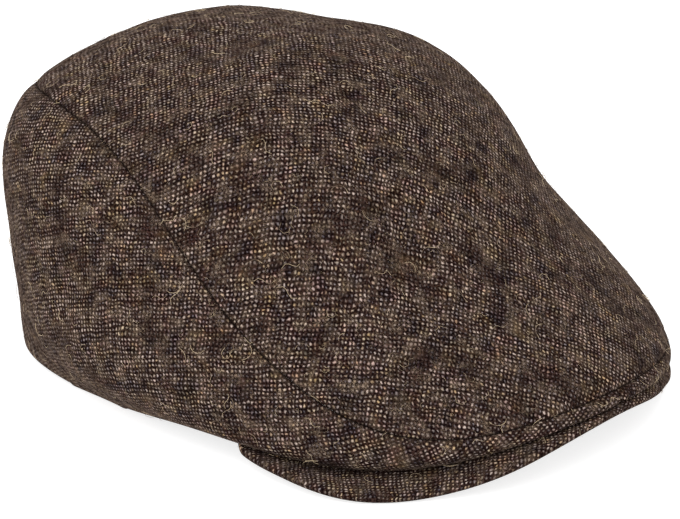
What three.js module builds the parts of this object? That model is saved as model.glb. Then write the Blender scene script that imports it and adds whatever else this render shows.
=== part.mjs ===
// A tweed flat cap with a duckbill front, lying on a table: a top panel, two side panels and a
// stiff peak. Millimetres, +Z up, the table at z = 0, the peak towards -Y and the wearer's right
// towards -X. A turn is the angle in degrees about the crown's upright axis: 0 at the front, 180
// at the back, and positive on the wearer's right.
import * as THREE from "three";

// Cloth
const CLOTH = 2.0; // the tweed with its backing
const HEM = 3.0; // the turned-up edge round the head opening
const HEM_HEIGHT = 12;
const LEVEL = 0.5; // a rim lower than this lies flat on the table
const GAP = 0.35; // between pieces that are sewn together
const SEAM_DIP = 0.7; // how far the cloth sinks where it turns into a seam
const SEAM_WIDTH = 3; // the width of cloth that sinks with it

// Crown
const AXIS_Y = 15; // where the crown's upright axis stands
const TOP = 123; // height of the crown on the axis
const TOP_REACH = 30; // how far out the top stays level

// Half sections of the crown, every 30 degrees from the front to the back. Each steers one
// smooth curve from the rim to the top by [reach from the axis, rise above the table]. The
// seam is where the side panel ends along that curve, 0 at the rim and 1 at the top. The
// values came from a least-squares fit, and were then rounded and some changed by hand.
const SECTIONS = [
  { rim: [145, 20], foot: [150, 20], flank: [130, 40], shoulder: [93, 65], brow: [72, 94], seam: 0.11 },
  { rim: [128, 7.2], foot: [141, 12], flank: [122, 38], shoulder: [89, 63], brow: [74, 96], seam: 0.13 },
  { rim: [107, 8.6], foot: [115, 10.6], flank: [109, 37], shoulder: [84, 65], brow: [71, 103], seam: 0.33 },
  { rim: [87, 2], foot: [106, 16], flank: [100, 40], shoulder: [87, 75], brow: [64, 107], seam: 0.55 },
  { rim: [95, 1], foot: [107, 22], flank: [103, 44], shoulder: [102, 89], brow: [61, 106], seam: 0.62 },
  { rim: [106, 0], foot: [108, 24], flank: [113, 49], shoulder: [117, 96], brow: [58, 116], seam: 0.54 },
  { rim: [103, 0], foot: [109, 25], flank: [118, 52], shoulder: [118, 92], brow: [57, 122], seam: 0.48 },
];

// Soft folds and hollows in the crown: the middle of each, its half width and half length in
// mm, how far its long side leans from upright, and how deep it sinks. A ridge has a depth
// below zero.
const FOLDS = [
  { turn: 25, along: 0.56, width: 8, length: 24, lean: 12, depth: 3 },
  { turn: 46, along: 0.38, width: 11, length: 13, lean: 0, depth: 3 },
  { turn: 39, along: 0.5, width: 7, length: 18, lean: -42, depth: -1.6 },
  { turn: 106, along: 0.2, width: 6, length: 18, lean: -10, depth: 1.5 },
];

// Peak
const BOARD = 3.2; // the covered board
const EDGE = 1.6; // its rounded edges
const PEAK_END = 56.5; // how far it turns to each side of its middle
const PEAK_TURN = 5; // the turn at which its middle lies, a little to the right of the crown's
const PEAK_ROWS = 6;
const PEAK_GAP = 0.7; // between the board and the rim that sits on it
const PEAK_FALL = 8; // the least width over which it falls from the rim to its edge
const CORNER = 16; // length of the rounding of its two ends along the edge
const CORNER_DEPTH = 12; // and across it

// Sections of the peak, at each quarter of the way from its middle to its end, as [reach, rise]
// of its outer edge and of its inner edge, which is the front of the head opening. The outer
// edge came from such fits too, and was then changed by hand.
const PEAK = [
  { edge: [147, 18.5], inner: [96, 28] },
  { edge: [146, 11], inner: [97, 26] },
  { edge: [139, 3.2], inner: [97, 20] },
  { edge: [130, 5.5], inner: [97, 15] },
  { edge: [113, 8], inner: [95, 11] },
];

// Fineness
const TURN_STEP = 5;
const PEAK_STEP = 2.5;
const TOP_ROWS = 20;
const SIDE_ROWS = 11;

const KNOTS = [0, 0, 0, 0, 0.25, 0.5, 0.75, 1, 1, 1, 1];

// Point at a share from 0 to 1 along the cubic B-spline that seven points steer.
function onCurve(points, share) {
  const at = Math.min(Math.max(share, 0), 1);
  const span = 3 + Math.min(3, Math.floor(at * 4));
  const near = points.slice(span - 3, span + 1);
  for (let level = 1; level <= 3; level++) {
    for (let i = 3; i >= level; i--) {
      const low = KNOTS[span - 3 + i];
      const t = (at - low) / (KNOTS[span + 1 + i - level] - low);
      near[i] = near[i].map((value, axis) => near[i - 1][axis] * (1 - t) + value * t);
    }
  }
  return near[3];
}

// Value between evenly spaced rows: a cosine series, so it runs level over both ends.
function betweenRows(values, share) {
  const last = values.length - 1;
  let total = 0;
  for (let wave = 0; wave <= last; wave++) {
    let weight = 0;
    values.forEach((value, row) => {
      const part = row === 0 || row === last ? 0.5 : 1;
      weight += part * value * Math.cos((Math.PI * wave * row) / last);
    });
    const part = wave === 0 || wave === last ? 1 : 2;
    total += (part * weight * Math.cos(Math.PI * wave * share)) / last;
  }
  return total;
}

function column(rows, name, share) {
  return [0, 1].map((axis) => betweenRows(rows.map((row) => row[name][axis]), share));
}

function place(turn, [reach, rise]) {
  const angle = THREE.MathUtils.degToRad(turn);
  return new THREE.Vector3(-reach * Math.sin(angle), AXIS_Y - reach * Math.cos(angle), rise);
}

function seamAt(turn) {
  return betweenRows(SECTIONS.map((row) => row.seam), turn / 180);
}

// The crown before it is folded.
function smoothCrown(turn, along) {
  const steer = ["rim", "foot", "flank", "shoulder", "brow"];
  const points = steer.map((name) => column(SECTIONS, name, turn / 180));
  return place(turn, onCurve([...points, [TOP_REACH, TOP], [0, TOP]], along));
}

function outward(turn, along) {
  const here = Math.min(along, 0.985);
  const round = smoothCrown(turn + 0.5, here).sub(smoothCrown(turn - 0.5, here));
  const up = smoothCrown(turn, here + 0.01).sub(smoothCrown(turn, here - 0.01));
  const normal = up.cross(round).normalize();
  return along > 0.985 ? new THREE.Vector3(0, 0, 1) : normal;
}

// How far the folds sink the cloth at one place.
function sinkAt(turn, along) {
  const point = smoothCrown(turn, along);
  let sink = 0;
  for (const fold of FOLDS) {
    const middle = smoothCrown(fold.turn, fold.along);
    const beside = smoothCrown(fold.turn + 1, fold.along).sub(middle).normalize();
    const upward = smoothCrown(fold.turn, fold.along + 0.01).sub(middle).normalize();
    const lean = THREE.MathUtils.degToRad(fold.lean);
    const away = point.clone().sub(middle);
    const across = away.dot(beside) * Math.cos(lean) - away.dot(upward) * Math.sin(lean);
    const down = away.dot(beside) * Math.sin(lean) + away.dot(upward) * Math.cos(lean);
    const through = away.lengthSq() - across * across - down * down;
    const far = (across / fold.width) ** 2 + (down / fold.length) ** 2 + through / 900;
    sink += fold.depth * Math.exp(-far);
  }
  return sink;
}

// A point of the crown's wall, at a depth below its outer face.
function wall(turn, along, depth) {
  const inward = outward(turn, along).negate();
  const flat = along > 0.97 ? 0 : sinkAt(turn, along);
  return smoothCrown(turn, along).addScaledVector(inward, depth + flat);
}

// Length of a section's curve, which turns millimetres into shares of it.
function curveLength(turn) {
  let total = 0;
  for (let step = 0; step < 20; step++) {
    total += smoothCrown(turn, step / 20).distanceTo(smoothCrown(turn, (step + 1) / 20));
  }
  return total;
}

// One section of the top panel, as pairs of an outer and an inner point from seam to top.
function topSection(turn) {
  const length = curveLength(turn);
  const start = seamAt(turn) + GAP / 2 / length;
  const flat = start + SEAM_WIDTH / length;
  const pairs = [[wall(turn, start, SEAM_DIP), wall(turn, start, CLOTH)]];
  for (let row = 0; row < TOP_ROWS; row++) {
    const along = flat + ((1 - flat) * row) / (TOP_ROWS - 1);
    const at = row === TOP_ROWS - 1 ? 0 : turn;
    pairs.push([wall(at, along, 0), wall(at, along, CLOTH)]);
  }
  return pairs;
}

// Reach of the peak's outer edge, whose two ends are rounded off.
function peakEdge(turn) {
  const away = Math.abs(turn - PEAK_TURN);
  const outer = column(PEAK, "edge", away / PEAK_END)[0];
  const toEnd = THREE.MathUtils.degToRad(PEAK_END - away) * outer;
  const inside = Math.max(1 - toEnd / CORNER, 0);
  return outer - CORNER_DEPTH * (1 - Math.sqrt(1 - inside ** 2));
}

// Height of the top of the peak: it rounds over from its inner edge to the line on which the
// crown sits, and from there it falls straight to its outer edge.
function peakRise(turn, reach) {
  const share = Math.abs(turn - PEAK_TURN) / PEAK_END;
  const [outer, low] = column(PEAK, "edge", share);
  const [inner, high] = column(PEAK, "inner", share);
  const [seat, lift] = column(SECTIONS, "rim", turn / 180);
  const rise = lift - PEAK_GAP;
  const wide = Math.max(outer - seat, PEAK_FALL);
  if (reach > seat) return rise + ((low - rise) * (reach - seat)) / wide;
  return rise + (high - rise) * Math.sin((Math.PI / 2) * ((seat - reach) / (seat - inner)));
}

// One section of a side panel, from the hem to the seam. The hem is cut level where it meets
// the table, and along the peak where it meets that.
function sideSection(turn) {
  const length = curveLength(turn);
  const end = seamAt(turn) - GAP / 2 / length;
  const flat = end - SEAM_WIDTH / length;
  const [reach, lift] = column(SECTIONS, "rim", turn / 180);
  const rise = lift < LEVEL ? 0 : lift;
  const inner = reach - HEM;
  const overPeak = Math.abs(turn - PEAK_TURN) < PEAK_END + TURN_STEP;
  const onPeak = overPeak ? peakRise(turn, inner) + PEAK_GAP : 0;
  const pairs = [[place(turn, [reach, rise]), place(turn, [inner, Math.max(rise, onPeak)])]];
  for (let row = 1; row < SIDE_ROWS; row++) {
    const along = (flat * row) / (SIDE_ROWS - 1);
    const thick = along * length > HEM_HEIGHT ? CLOTH : HEM;
    pairs.push([wall(turn, along, 0), wall(turn, along, thick)]);
  }
  pairs.push([wall(turn, end, SEAM_DIP), wall(turn, end, CLOTH)]);
  return pairs;
}

// One section of the peak, from its outer edge to its inner edge. Nothing of it goes below
// the table.
function peakSection(turn) {
  const outer = peakEdge(turn);
  const inner = column(PEAK, "inner", Math.abs(turn - PEAK_TURN) / PEAK_END)[0];
  const seat = Math.min(column(SECTIONS, "rim", turn / 180)[0], outer - 2);
  const reaches = [outer, outer - 1];
  for (let row = 0; row < PEAK_ROWS; row++) {
    reaches.push(seat + ((inner - seat) * row) / (PEAK_ROWS - 1));
  }
  return reaches.map((reach, row) => {
    const rise = peakRise(turn, reach);
    const slope = peakRise(turn, reach + 1) - peakRise(turn, reach - 1);
    const thick = row === 0 || row === PEAK_ROWS + 1 ? EDGE : BOARD;
    const across = thick / Math.hypot(slope, 2);
    const below = [reach + slope * across, Math.max(rise - 2 * across, 0)];
    return [place(turn, [reach, rise]), place(turn, below)];
  });
}

// Closed solid through a row of sections, which meet up again or are closed at both ends.
function solid(sections, meets) {
  const loops = sections.map((pairs) => [
    ...pairs.map((pair) => pair[0]),
    ...pairs.map((pair) => pair[1]).reverse(),
  ]);
  const corners = [];
  const face = (a, b, c) => {
    const narrow = Math.min(a.distanceTo(b), b.distanceTo(c), c.distanceTo(a));
    if (narrow > 1e-6) corners.push(...a.toArray(), ...b.toArray(), ...c.toArray());
  };
  const quad = (a, b, c, d) => {
    face(a, b, c);
    face(a, c, d);
  };
  const count = loops[0].length;
  const strips = meets ? loops.length : loops.length - 1;
  for (let i = 0; i < strips; i++) {
    const here = loops[i];
    const next = loops[(i + 1) % loops.length];
    for (let k = 0; k < count; k++) {
      const up = (k + 1) % count;
      quad(here[k], here[up], next[up], next[k]);
    }
  }
  if (!meets) {
    const first = loops[0];
    const last = loops[loops.length - 1];
    for (let k = 0; k < count / 2 - 1; k++) {
      const back = count - 1 - k;
      quad(first[k], first[back], first[back - 1], first[k + 1]);
      quad(last[k], last[k + 1], last[back - 1], last[back]);
    }
  }
  const geometry = new THREE.BufferGeometry();
  geometry.setAttribute("position", new THREE.Float32BufferAttribute(corners, 3));
  geometry.computeVertexNormals();
  return geometry;
}

// Places from one end to the other in even steps of about the size asked for.
function turns(from, to, size) {
  const steps = Math.round((to - from) / size);
  return Array.from({ length: steps + 1 }, (_, i) => from + ((to - from) * i) / steps);
}

function piece(name, geometry, color) {
  const mesh = new THREE.Mesh(geometry, new THREE.MeshStandardMaterial({ color, roughness: 1 }));
  mesh.name = name;
  return mesh;
}

// Sides of the two seams down the middle, front and back, a gap apart.
const [rimFront, rimBack] = [SECTIONS[0].rim[0], SECTIONS[6].rim[0]];
const frontTurn = THREE.MathUtils.radToDeg(GAP / 2 / rimFront);
const backTurn = 180 - THREE.MathUtils.radToDeg(GAP / 2 / rimBack);

const topTurns = turns(-180, 180, TURN_STEP).slice(1);
const rightTurns = turns(frontTurn, backTurn, TURN_STEP);
const leftTurns = turns(-backTurn, -frontTurn, TURN_STEP);
// The peak's columns stand closer together towards its rounded ends.
const peakTurns = turns(-1, 1, PEAK_STEP / PEAK_END).map(
  (share) => PEAK_TURN + (PEAK_END * (share + Math.sin((Math.PI / 2) * share))) / 2,
);

const cap = new THREE.Group();
cap.name = "flat_cap";
cap.add(
  piece("top_panel", solid(topTurns.map(topSection), true), 0x54443b),
  piece("side_panel_right", solid(rightTurns.map(sideSection), false), 0x514238),
  piece("side_panel_left", solid(leftTurns.map(sideSection), false), 0x514238),
  piece("peak", solid(peakTurns.map(peakSection), false), 0x4c3e35),
);

export default cap;
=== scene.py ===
"""A tweed flat cap with a duckbill front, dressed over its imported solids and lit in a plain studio.

Sections are worked out in millimetres, in polar form about the crown's upright axis: a turn is the
angle in degrees from the front, positive on the wearer's right. Meshes are made in metres.
"""

import logging
import math
from dataclasses import dataclass
from enum import Enum

import bpy
import numpy as np
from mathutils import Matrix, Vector


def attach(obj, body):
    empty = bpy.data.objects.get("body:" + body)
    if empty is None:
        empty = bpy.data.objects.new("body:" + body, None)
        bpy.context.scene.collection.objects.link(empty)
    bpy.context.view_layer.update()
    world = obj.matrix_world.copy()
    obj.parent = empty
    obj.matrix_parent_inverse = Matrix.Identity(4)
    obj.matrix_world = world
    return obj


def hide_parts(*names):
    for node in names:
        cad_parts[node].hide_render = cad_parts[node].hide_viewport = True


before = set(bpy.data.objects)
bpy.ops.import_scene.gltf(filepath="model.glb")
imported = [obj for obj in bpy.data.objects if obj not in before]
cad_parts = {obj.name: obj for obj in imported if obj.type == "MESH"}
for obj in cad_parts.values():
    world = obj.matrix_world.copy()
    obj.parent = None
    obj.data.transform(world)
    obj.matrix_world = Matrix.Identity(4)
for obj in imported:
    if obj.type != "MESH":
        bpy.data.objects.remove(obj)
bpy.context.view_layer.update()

LOG = logging.getLogger("flat_cap")
MM = 0.001
WEAVE_MAP = "weave"
# The mesh attribute that holds the painted shade in the seams.
SEAM_SHADE_MASK = "painted_seam_shade"
KNOTS = (0, 0, 0, 0, 0.25, 0.5, 0.75, 1, 1, 1, 1)
FOLD_REACH = 900  # square millimetres over which a fold fades through the cloth
TINY = 1e-9  # keeps a reading just inside its span
NO_LENGTH = 1e-12  # the least length that a vector is divided by

Array = np.ndarray
Pair = tuple[float, float]
Colour = tuple[float, float, float, float]
Socket = bpy.types.NodeSocket


class Side(Enum):
    """The side of the cap that a panel covers, as the sign of its turns."""

    RIGHT = 1
    LEFT = -1


class Face(Enum):
    """The material place of a cloth's two faces on its mesh."""

    OUTER = 0
    INNER = 1


def between_rows(values: Array, share: Array) -> Array:
    """Values between evenly spaced rows, by a cosine series that runs level over both ends.

    Args:
        values: One entry per row, of any further shape.
        share: Where to read, 0 at the first row and 1 at the last.

    Returns:
        The values, in the shape of share followed by that of an entry.
    """
    last = len(values) - 1
    rows = np.arange(last + 1)
    ends = np.where((rows == 0) | (rows == last), 0.5, 1.0)
    series = 2 / last * ends[:, None] * np.cos(np.pi * np.outer(rows, rows) / last) * ends
    weights = np.cos(np.pi * np.multiply.outer(share, rows)) @ series
    return np.tensordot(weights, values, axes=1)


def spline_weights(share: Array) -> Array:
    """Weights of the seven points that steer a cubic section, at each share along it.

    Args:
        share: Where to read, 0 at the first point and 1 at the last.

    Returns:
        Seven weights for each share, in a new last axis.
    """
    at = np.clip(share, 0, 1 - TINY)
    weights = [((low <= at) & (at < high)).astype(float) for low, high in zip(KNOTS, KNOTS[1:])]
    for degree in (1, 2, 3):
        raised = []
        for i in range(len(weights) - 1):
            total = np.zeros_like(at)
            before = KNOTS[i + degree] - KNOTS[i]
            after = KNOTS[i + degree + 1] - KNOTS[i + 1]
            if before > 0:
                total += (at - KNOTS[i]) / before * weights[i]
            if after > 0:
                total += (KNOTS[i + degree + 1] - at) / after * weights[i + 1]
            raised.append(total)
        weights = raised
    return np.stack(weights, -1)


def ease(share: Array) -> Array:
    """A smooth step from 0 to 1, level at both ends."""
    inside = np.clip(share, 0, 1)
    return inside * inside * (3 - 2 * inside)


def unit(vectors: Array) -> Array:
    """The vectors at length one."""
    return vectors / np.maximum(np.linalg.norm(vectors, axis=-1, keepdims=True), NO_LENGTH)


def rolled(distance: Array, radius: float) -> Array:
    """How far a rounded edge has sunk, at a distance in from it."""
    inside = radius - np.clip(distance, 0, radius)
    return radius - np.sqrt(np.maximum(radius**2 - inside**2, 0))


def arced(distance: Array, radius: float) -> Array:
    """A distance in from a rounded edge, measured round its curve."""
    inside = radius - np.clip(distance, 0, radius)
    return distance + inside - radius * np.arcsin(inside / radius)


@dataclass(frozen=True)
class CrownRow:
    """One half section of the crown: steering points as (reach, rise), and where its seam lies."""

    rim: Pair
    foot: Pair
    flank: Pair
    shoulder: Pair
    brow: Pair
    seam: float


@dataclass(frozen=True)
class Fold:
    """A soft hollow in the cloth, or a ridge where its depth is below zero.

    Attributes:
        turn: The turn of its middle.
        along: The share of the section at its middle.
        width: Its reach across, in millimetres.
        length: Its reach along, in millimetres.
        lean: Degrees that its length leans towards growing turns.
        depth: How far it sinks the cloth, in millimetres.
    """

    turn: float
    along: float
    width: float
    length: float
    lean: float
    depth: float


@dataclass(frozen=True)
class PeakRow:
    """One section of the peak, as (reach, rise) of its outer and its inner edge."""

    edge: Pair
    inner: Pair


@dataclass(frozen=True)
class Ripples:
    """Soft uneven waves that keep worn cloth from looking machined.

    Attributes:
        spread: The wavelength that each wave's own is a share of, in millimetres.
        height: The root mean square of their height, in millimetres.
        waves: How many are added up.
        seed: The seed of their headings, lengths and phases.
        lengths: The least and the greatest share of the wavelength.
    """

    spread: float
    height: float
    waves: int
    seed: int
    lengths: Pair = (0.7, 1.5)

    def at(self, points: Array) -> Array:
        """How far the cloth stands out at each point.

        Args:
            points: Places in millimetres.

        Returns:
            One height in millimetres for each place.
        """
        draw = np.random.default_rng(self.seed)
        headings = unit(draw.normal(size=(self.waves, 3)))
        lengths = self.spread * draw.uniform(*self.lengths, self.waves)
        phases = draw.uniform(0, 2 * np.pi, self.waves)
        total = np.zeros(points.shape[:-1])
        for heading, length, phase in zip(headings, lengths, phases):
            total += np.cos(points @ heading * (2 * np.pi / length) + phase)
        return total * self.height * math.sqrt(2 / self.waves)


@dataclass(frozen=True)
class CrownForm:
    """The crown's surface, shared by the panels that are sewn into it.

    Attributes:
        rows: Half sections, from the middle of the front to the middle of the back.
        folds: Its hollows and ridges.
        ripples: Its finer waves.
        axis_y: Where its upright axis stands.
        top: Its height.
        top_reach: The level reach of the point that steers it next to the top.
        cloth: The cloth's thickness.
        gap: The gap between two panels at the outer face.
        closed: The same gap inside.
        seam_radius: The reach over which the cloth rolls into a seam.
        seam_depth: How far the cloth turns down into a seam.
        seam_hollow: The part of that depth which is a soft groove.
        seam_shade: The reach over which a seam presses the pile.
        seam_spread: The reach of the soft groove.
        calm_from: The distance from a seam at which ripples begin.
        calm_span: The distance over which they grow.
        fold_free: The share of a section, next to the top, over which folds fade.
        chords: How many straight steps measure a section.
        turn_step: Degrees each way over which the surface's direction is read.
        along_step: The share of a section each way for the same.
        last_read: The last share at which that direction is read.
        level_from: The share from which it turns straight up.
        level_span: The share over which it does.
    """

    rows: tuple[CrownRow, ...]
    folds: tuple[Fold, ...]
    ripples: tuple[Ripples, ...]
    axis_y: float = 15
    top: float = 123
    top_reach: float = 30
    cloth: float = 2.0
    gap: float = 0.12
    closed: float = 0.004
    seam_radius: float = 1.0
    seam_depth: float = 1.2
    seam_hollow: float = 0.5
    seam_shade: float = 0.85
    seam_spread: float = 3
    calm_from: float = 1
    calm_span: float = 9
    fold_free: float = 0.06
    chords: int = 60
    turn_step: float = 0.5
    along_step: float = 0.01
    last_read: float = 0.985
    level_from: float = 0.95
    level_span: float = 0.05

    def place(self, turn: Array, section: Array) -> Array:
        """Points in space for turns and (reach, rise) pairs."""
        angle = np.radians(turn)
        reach, rise = section[..., 0], section[..., 1]
        return np.stack([-reach * np.sin(angle), self.axis_y - reach * np.cos(angle), rise], -1)

    def rim(self, turn: Array) -> Array:
        """The rim's (reach, rise) at each turn."""
        return between_rows(np.array([row.rim for row in self.rows], float), turn / 180)

    def seam(self, turn: Array) -> Array:
        """Where the seam lies along the section at each turn."""
        return between_rows(np.array([row.seam for row in self.rows]), turn / 180)

    def smooth(self, turn: Array, along: Array) -> Array:
        """The surface before it is folded.

        Args:
            turn: Angles about the axis.
            along: Shares of the section, 0 at the rim and 1 at the top.

        Returns:
            Points in millimetres.
        """
        turn, along = np.broadcast_arrays(np.asarray(turn, float), np.asarray(along, float))
        table = [[row.rim, row.foot, row.flank, row.shoulder, row.brow] for row in self.rows]
        steer = between_rows(np.array(table, float), turn / 180)
        summit = np.array([[self.top_reach, self.top], [0, self.top]], float)
        steer = np.concatenate([steer, np.broadcast_to(summit, turn.shape + (2, 2))], -2)
        section = (spline_weights(along)[..., None] * steer).sum(-2)
        return self.place(turn, section)

    def outward(self, turn: Array, along: Array) -> Array:
        """The direction that the surface faces.

        Args:
            turn: Angles about the axis.
            along: Shares of the section.

        Returns:
            Unit vectors.
        """
        here = np.minimum(along, self.last_read)
        across = self.smooth(turn + self.turn_step, here) - self.smooth(turn - self.turn_step, here)
        upward = self.smooth(turn, here + self.along_step) - self.smooth(turn, here - self.along_step)
        normal = unit(np.cross(upward, across))
        level = ease((along - self.level_from) / self.level_span)[..., None]
        return unit(normal * (1 - level) + np.array([0, 0, 1.0]) * level)

    def sink(self, points: Array) -> Array:
        """How far the folds sink the cloth.

        Args:
            points: Places on the smooth surface.

        Returns:
            Depths in millimetres.
        """
        total = np.zeros(points.shape[:-1])
        for fold in self.folds:
            middle = self.smooth(fold.turn, fold.along)
            beside = unit(self.smooth(fold.turn + 1, fold.along) - middle)
            upward = unit(self.smooth(fold.turn, fold.along + self.along_step) - middle)
            lean = math.radians(fold.lean)
            away = points - middle
            side, rise = away @ beside, away @ upward
            across = side * math.cos(lean) - rise * math.sin(lean)
            down = side * math.sin(lean) + rise * math.cos(lean)
            through = (away**2).sum(-1) - across**2 - down**2
            far = (across / fold.width) ** 2 + (down / fold.length) ** 2 + through / FOLD_REACH
            total += fold.depth * np.exp(-far)
        return total

    def wall(self, turn: Array, along: Array, depth: Array | float, calm: Array | float = 1) -> Array:
        """Points of the wall, at a depth below its outer face.

        Args:
            turn: Angles about the axis.
            along: Shares of the section.
            depth: Millimetres in from the outer face.
            calm: How much of the ripples shows, from 0 to 1.

        Returns:
            Points in millimetres.
        """
        points = self.smooth(turn, along)
        uneven = sum(ripple.at(points) for ripple in self.ripples)
        folded = self.sink(points) * ease((1 - along) / self.fold_free)
        inward = depth + folded - uneven * calm
        return points - self.outward(turn, along) * np.asarray(inward)[..., None]

    def length(self, turn: Array) -> Array:
        """The length of each section, from rim to top."""
        steps = np.linspace(0, 1, self.chords + 1)
        line = self.smooth(turn[:, None], steps[None, :])
        return np.linalg.norm(np.diff(line, axis=1), axis=-1).sum(1)

    def seam_sink(self, distance: Array) -> Array:
        """How far the cloth turns down into a seam, at a distance from it."""
        edge = rolled(distance / self.seam_radius, 1) * (self.seam_depth - self.seam_hollow)
        return edge + self.seam_hollow * np.exp(-((distance / self.seam_spread) ** 2))

    def painted_seam_shade(self, distance: Array) -> Array:
        """How much painted shade darkens a seam, from 0 to 1, at a distance from it."""
        return np.exp(-((distance / self.seam_shade) ** 2))

    def calm(self, distance: Array) -> Array:
        """How much of the ripples shows, from 0 to 1, at a distance from a seam."""
        return ease((distance - self.calm_from) / self.calm_span)


@dataclass(frozen=True)
class PeakForm:
    """The covered board under the front of the crown.

    Attributes:
        rows: Sections from the middle to an end.
        crown: The crown it lies under.
        board: Its thickness.
        middle: The turn of its middle.
        end: The turn from its middle to an end.
        gap: How far it lies below the crown's rim.
        fall: The least level run over which its outer part falls.
        corner: The length of an end's rounded corner along the edge.
        corner_depth: How far that corner is cut back.
    """

    rows: tuple[PeakRow, ...]
    crown: CrownForm
    board: float = 3.2
    middle: float = 5
    end: float = 56.5
    gap: float = 0.7
    fall: float = 8
    corner: float = 16
    corner_depth: float = 12

    def away(self, turn: Array) -> Array:
        """How far each turn lies from the peak's middle."""
        return np.abs(turn - self.middle)

    def rise(self, turn: Array, reach: Array) -> Array:
        """Height of the peak's top face.

        Args:
            turn: Angles about the crown's axis.
            reach: Distances from the axis.

        Returns:
            Heights in millimetres.
        """
        share = self.away(turn) / self.end
        edge = between_rows(np.array([row.edge for row in self.rows], float), share)
        inner = between_rows(np.array([row.inner for row in self.rows], float), share)
        rim = self.crown.rim(turn)
        seat, lift = rim[..., 0], rim[..., 1] - self.gap
        fall = lift + (edge[..., 1] - lift) * (reach - seat) / np.maximum(edge[..., 0] - seat, self.fall)
        swell = np.clip((seat - reach) / (seat - inner[..., 0]), -1, 1)
        dome = lift + (inner[..., 1] - lift) * np.sin(np.pi / 2 * swell)
        return np.where(reach > seat, fall, dome)

    def spans(self, turn: Array) -> tuple[Array, Array]:
        """The outer and the inner reach at each turn."""
        rows = np.array([[row.edge[0], row.inner[0]] for row in self.rows], float)
        both = between_rows(rows, self.away(turn) / self.end)
        return both[..., 0], both[..., 1]

    def rounded(self, turn: Array) -> Array:
        """The outer reach at each turn, with the corners of the ends rounded off."""
        outer, _ = self.spans(turn)
        to_end = np.radians(self.end - self.away(turn)) * outer
        return outer - rolled(to_end / self.corner, 1) * self.corner_depth


@dataclass(frozen=True)
class FlatCut:
    """Lays a panel's cloth flat with its lengths kept, which gives the weave its run over the form.

    Attributes:
        passes: How many times every length is pulled right.
        pull: How strongly, where 1 would be the plain mean of the pulls.
        least: The least length that a pull is divided by.
    """

    passes: int = 1500
    pull: float = 1.25
    least: float = 1e-6

    def relax(self, points: Array, start: Array, ring: bool, pole: bool = False) -> Array:
        """Pulls a grid of points flat.

        Args:
            points: The grid in space, as columns by rows.
            start: A first guess at its flat places.
            ring: Whether the last column meets the first.
            pole: Whether the last row is one point.

        Returns:
            The flat places, in millimetres.
        """
        columns, rows = points.shape[:2]
        ids = np.arange(columns * rows).reshape(columns, rows)
        if pole:
            ids[:, -1] = ids[0, -1]
        beside = np.roll(ids, -1, 0) if ring else ids[1:]
        here = ids if ring else ids[:-1]
        pairs = [(ids[:, :-1], ids[:, 1:]), (here, beside)]
        pairs += [(here[:, :-1], beside[:, 1:]), (here[:, 1:], beside[:, :-1])]
        first = np.concatenate([a.ravel() for a, _ in pairs])
        second = np.concatenate([b.ravel() for _, b in pairs])
        space = points.reshape(-1, 3)
        lengths = np.linalg.norm(space[first] - space[second], axis=1)
        flat = start.reshape(-1, 2).copy()
        count = np.bincount(first, minlength=len(flat)) + np.bincount(second, minlength=len(flat))
        count = np.maximum(count, 1)
        for _ in range(self.passes):
            between = flat[second] - flat[first]
            far = np.maximum(np.linalg.norm(between, axis=1), self.least)
            move = between * ((far - lengths) / far * 0.5)[:, None]
            for axis in (0, 1):
                sums = np.bincount(first, move[:, axis], len(flat))
                sums -= np.bincount(second, move[:, axis], len(flat))
                flat[:, axis] += self.pull * sums / count
        return flat[ids]

    def read(self, flat: Array, column: Array, row: Array, ring: bool) -> Array:
        """Reads the flat grid smoothly between its points.

        Args:
            flat: The flat grid.
            column: Places between columns, counted from 0.
            row: Places between rows, counted from 0.
            ring: Whether the last column meets the first.

        Returns:
            Flat places, in the shape of column and row.
        """
        beyond = np.stack([2 * flat[:, -1] - flat[:, -2], 3 * flat[:, -1] - 2 * flat[:, -2]], 1)
        padded = np.concatenate([(2 * flat[:, 0] - flat[:, 1])[:, None], flat, beyond], 1)
        if ring:
            padded = np.concatenate([padded[-1:], padded, padded[:3]])
        else:
            low = 2 * padded[:1] - padded[1:2]
            high = 2 * padded[-1:] - padded[-2:-1]
            padded = np.concatenate([low, padded, high, high])
        base = [np.floor(np.clip(at, 0, None) + TINY).astype(int) for at in (column, row)]
        base[0] = np.minimum(base[0], padded.shape[0] - 4)
        base[1] = np.minimum(base[1], padded.shape[1] - 4)
        weights = [self.blend(at - low) for at, low in zip((column, row), base)]
        total = np.zeros(column.shape + (2,))
        for i in range(4):
            for k in range(4):
                share = weights[0][i] * weights[1][k]
                total += share[..., None] * padded[base[0] + i, base[1] + k]
        return total

    @staticmethod
    def blend(at: Array) -> list[Array]:
        """Weights of the four points about a place, 0 at the second and 1 at the third."""
        return [
            (-at + 2 * at**2 - at**3) / 2,
            (2 - 5 * at**2 + 3 * at**3) / 2,
            (at + 4 * at**2 - 3 * at**3) / 2,
            (-(at**2) + at**3) / 2,
        ]


def spun(flat: Array, degrees: float) -> Array:
    """Flat places turned anticlockwise about the origin."""
    angle = math.radians(degrees)
    turn = np.array([[math.cos(angle), math.sin(angle)], [-math.sin(angle), math.cos(angle)]])
    return flat @ turn


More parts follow.
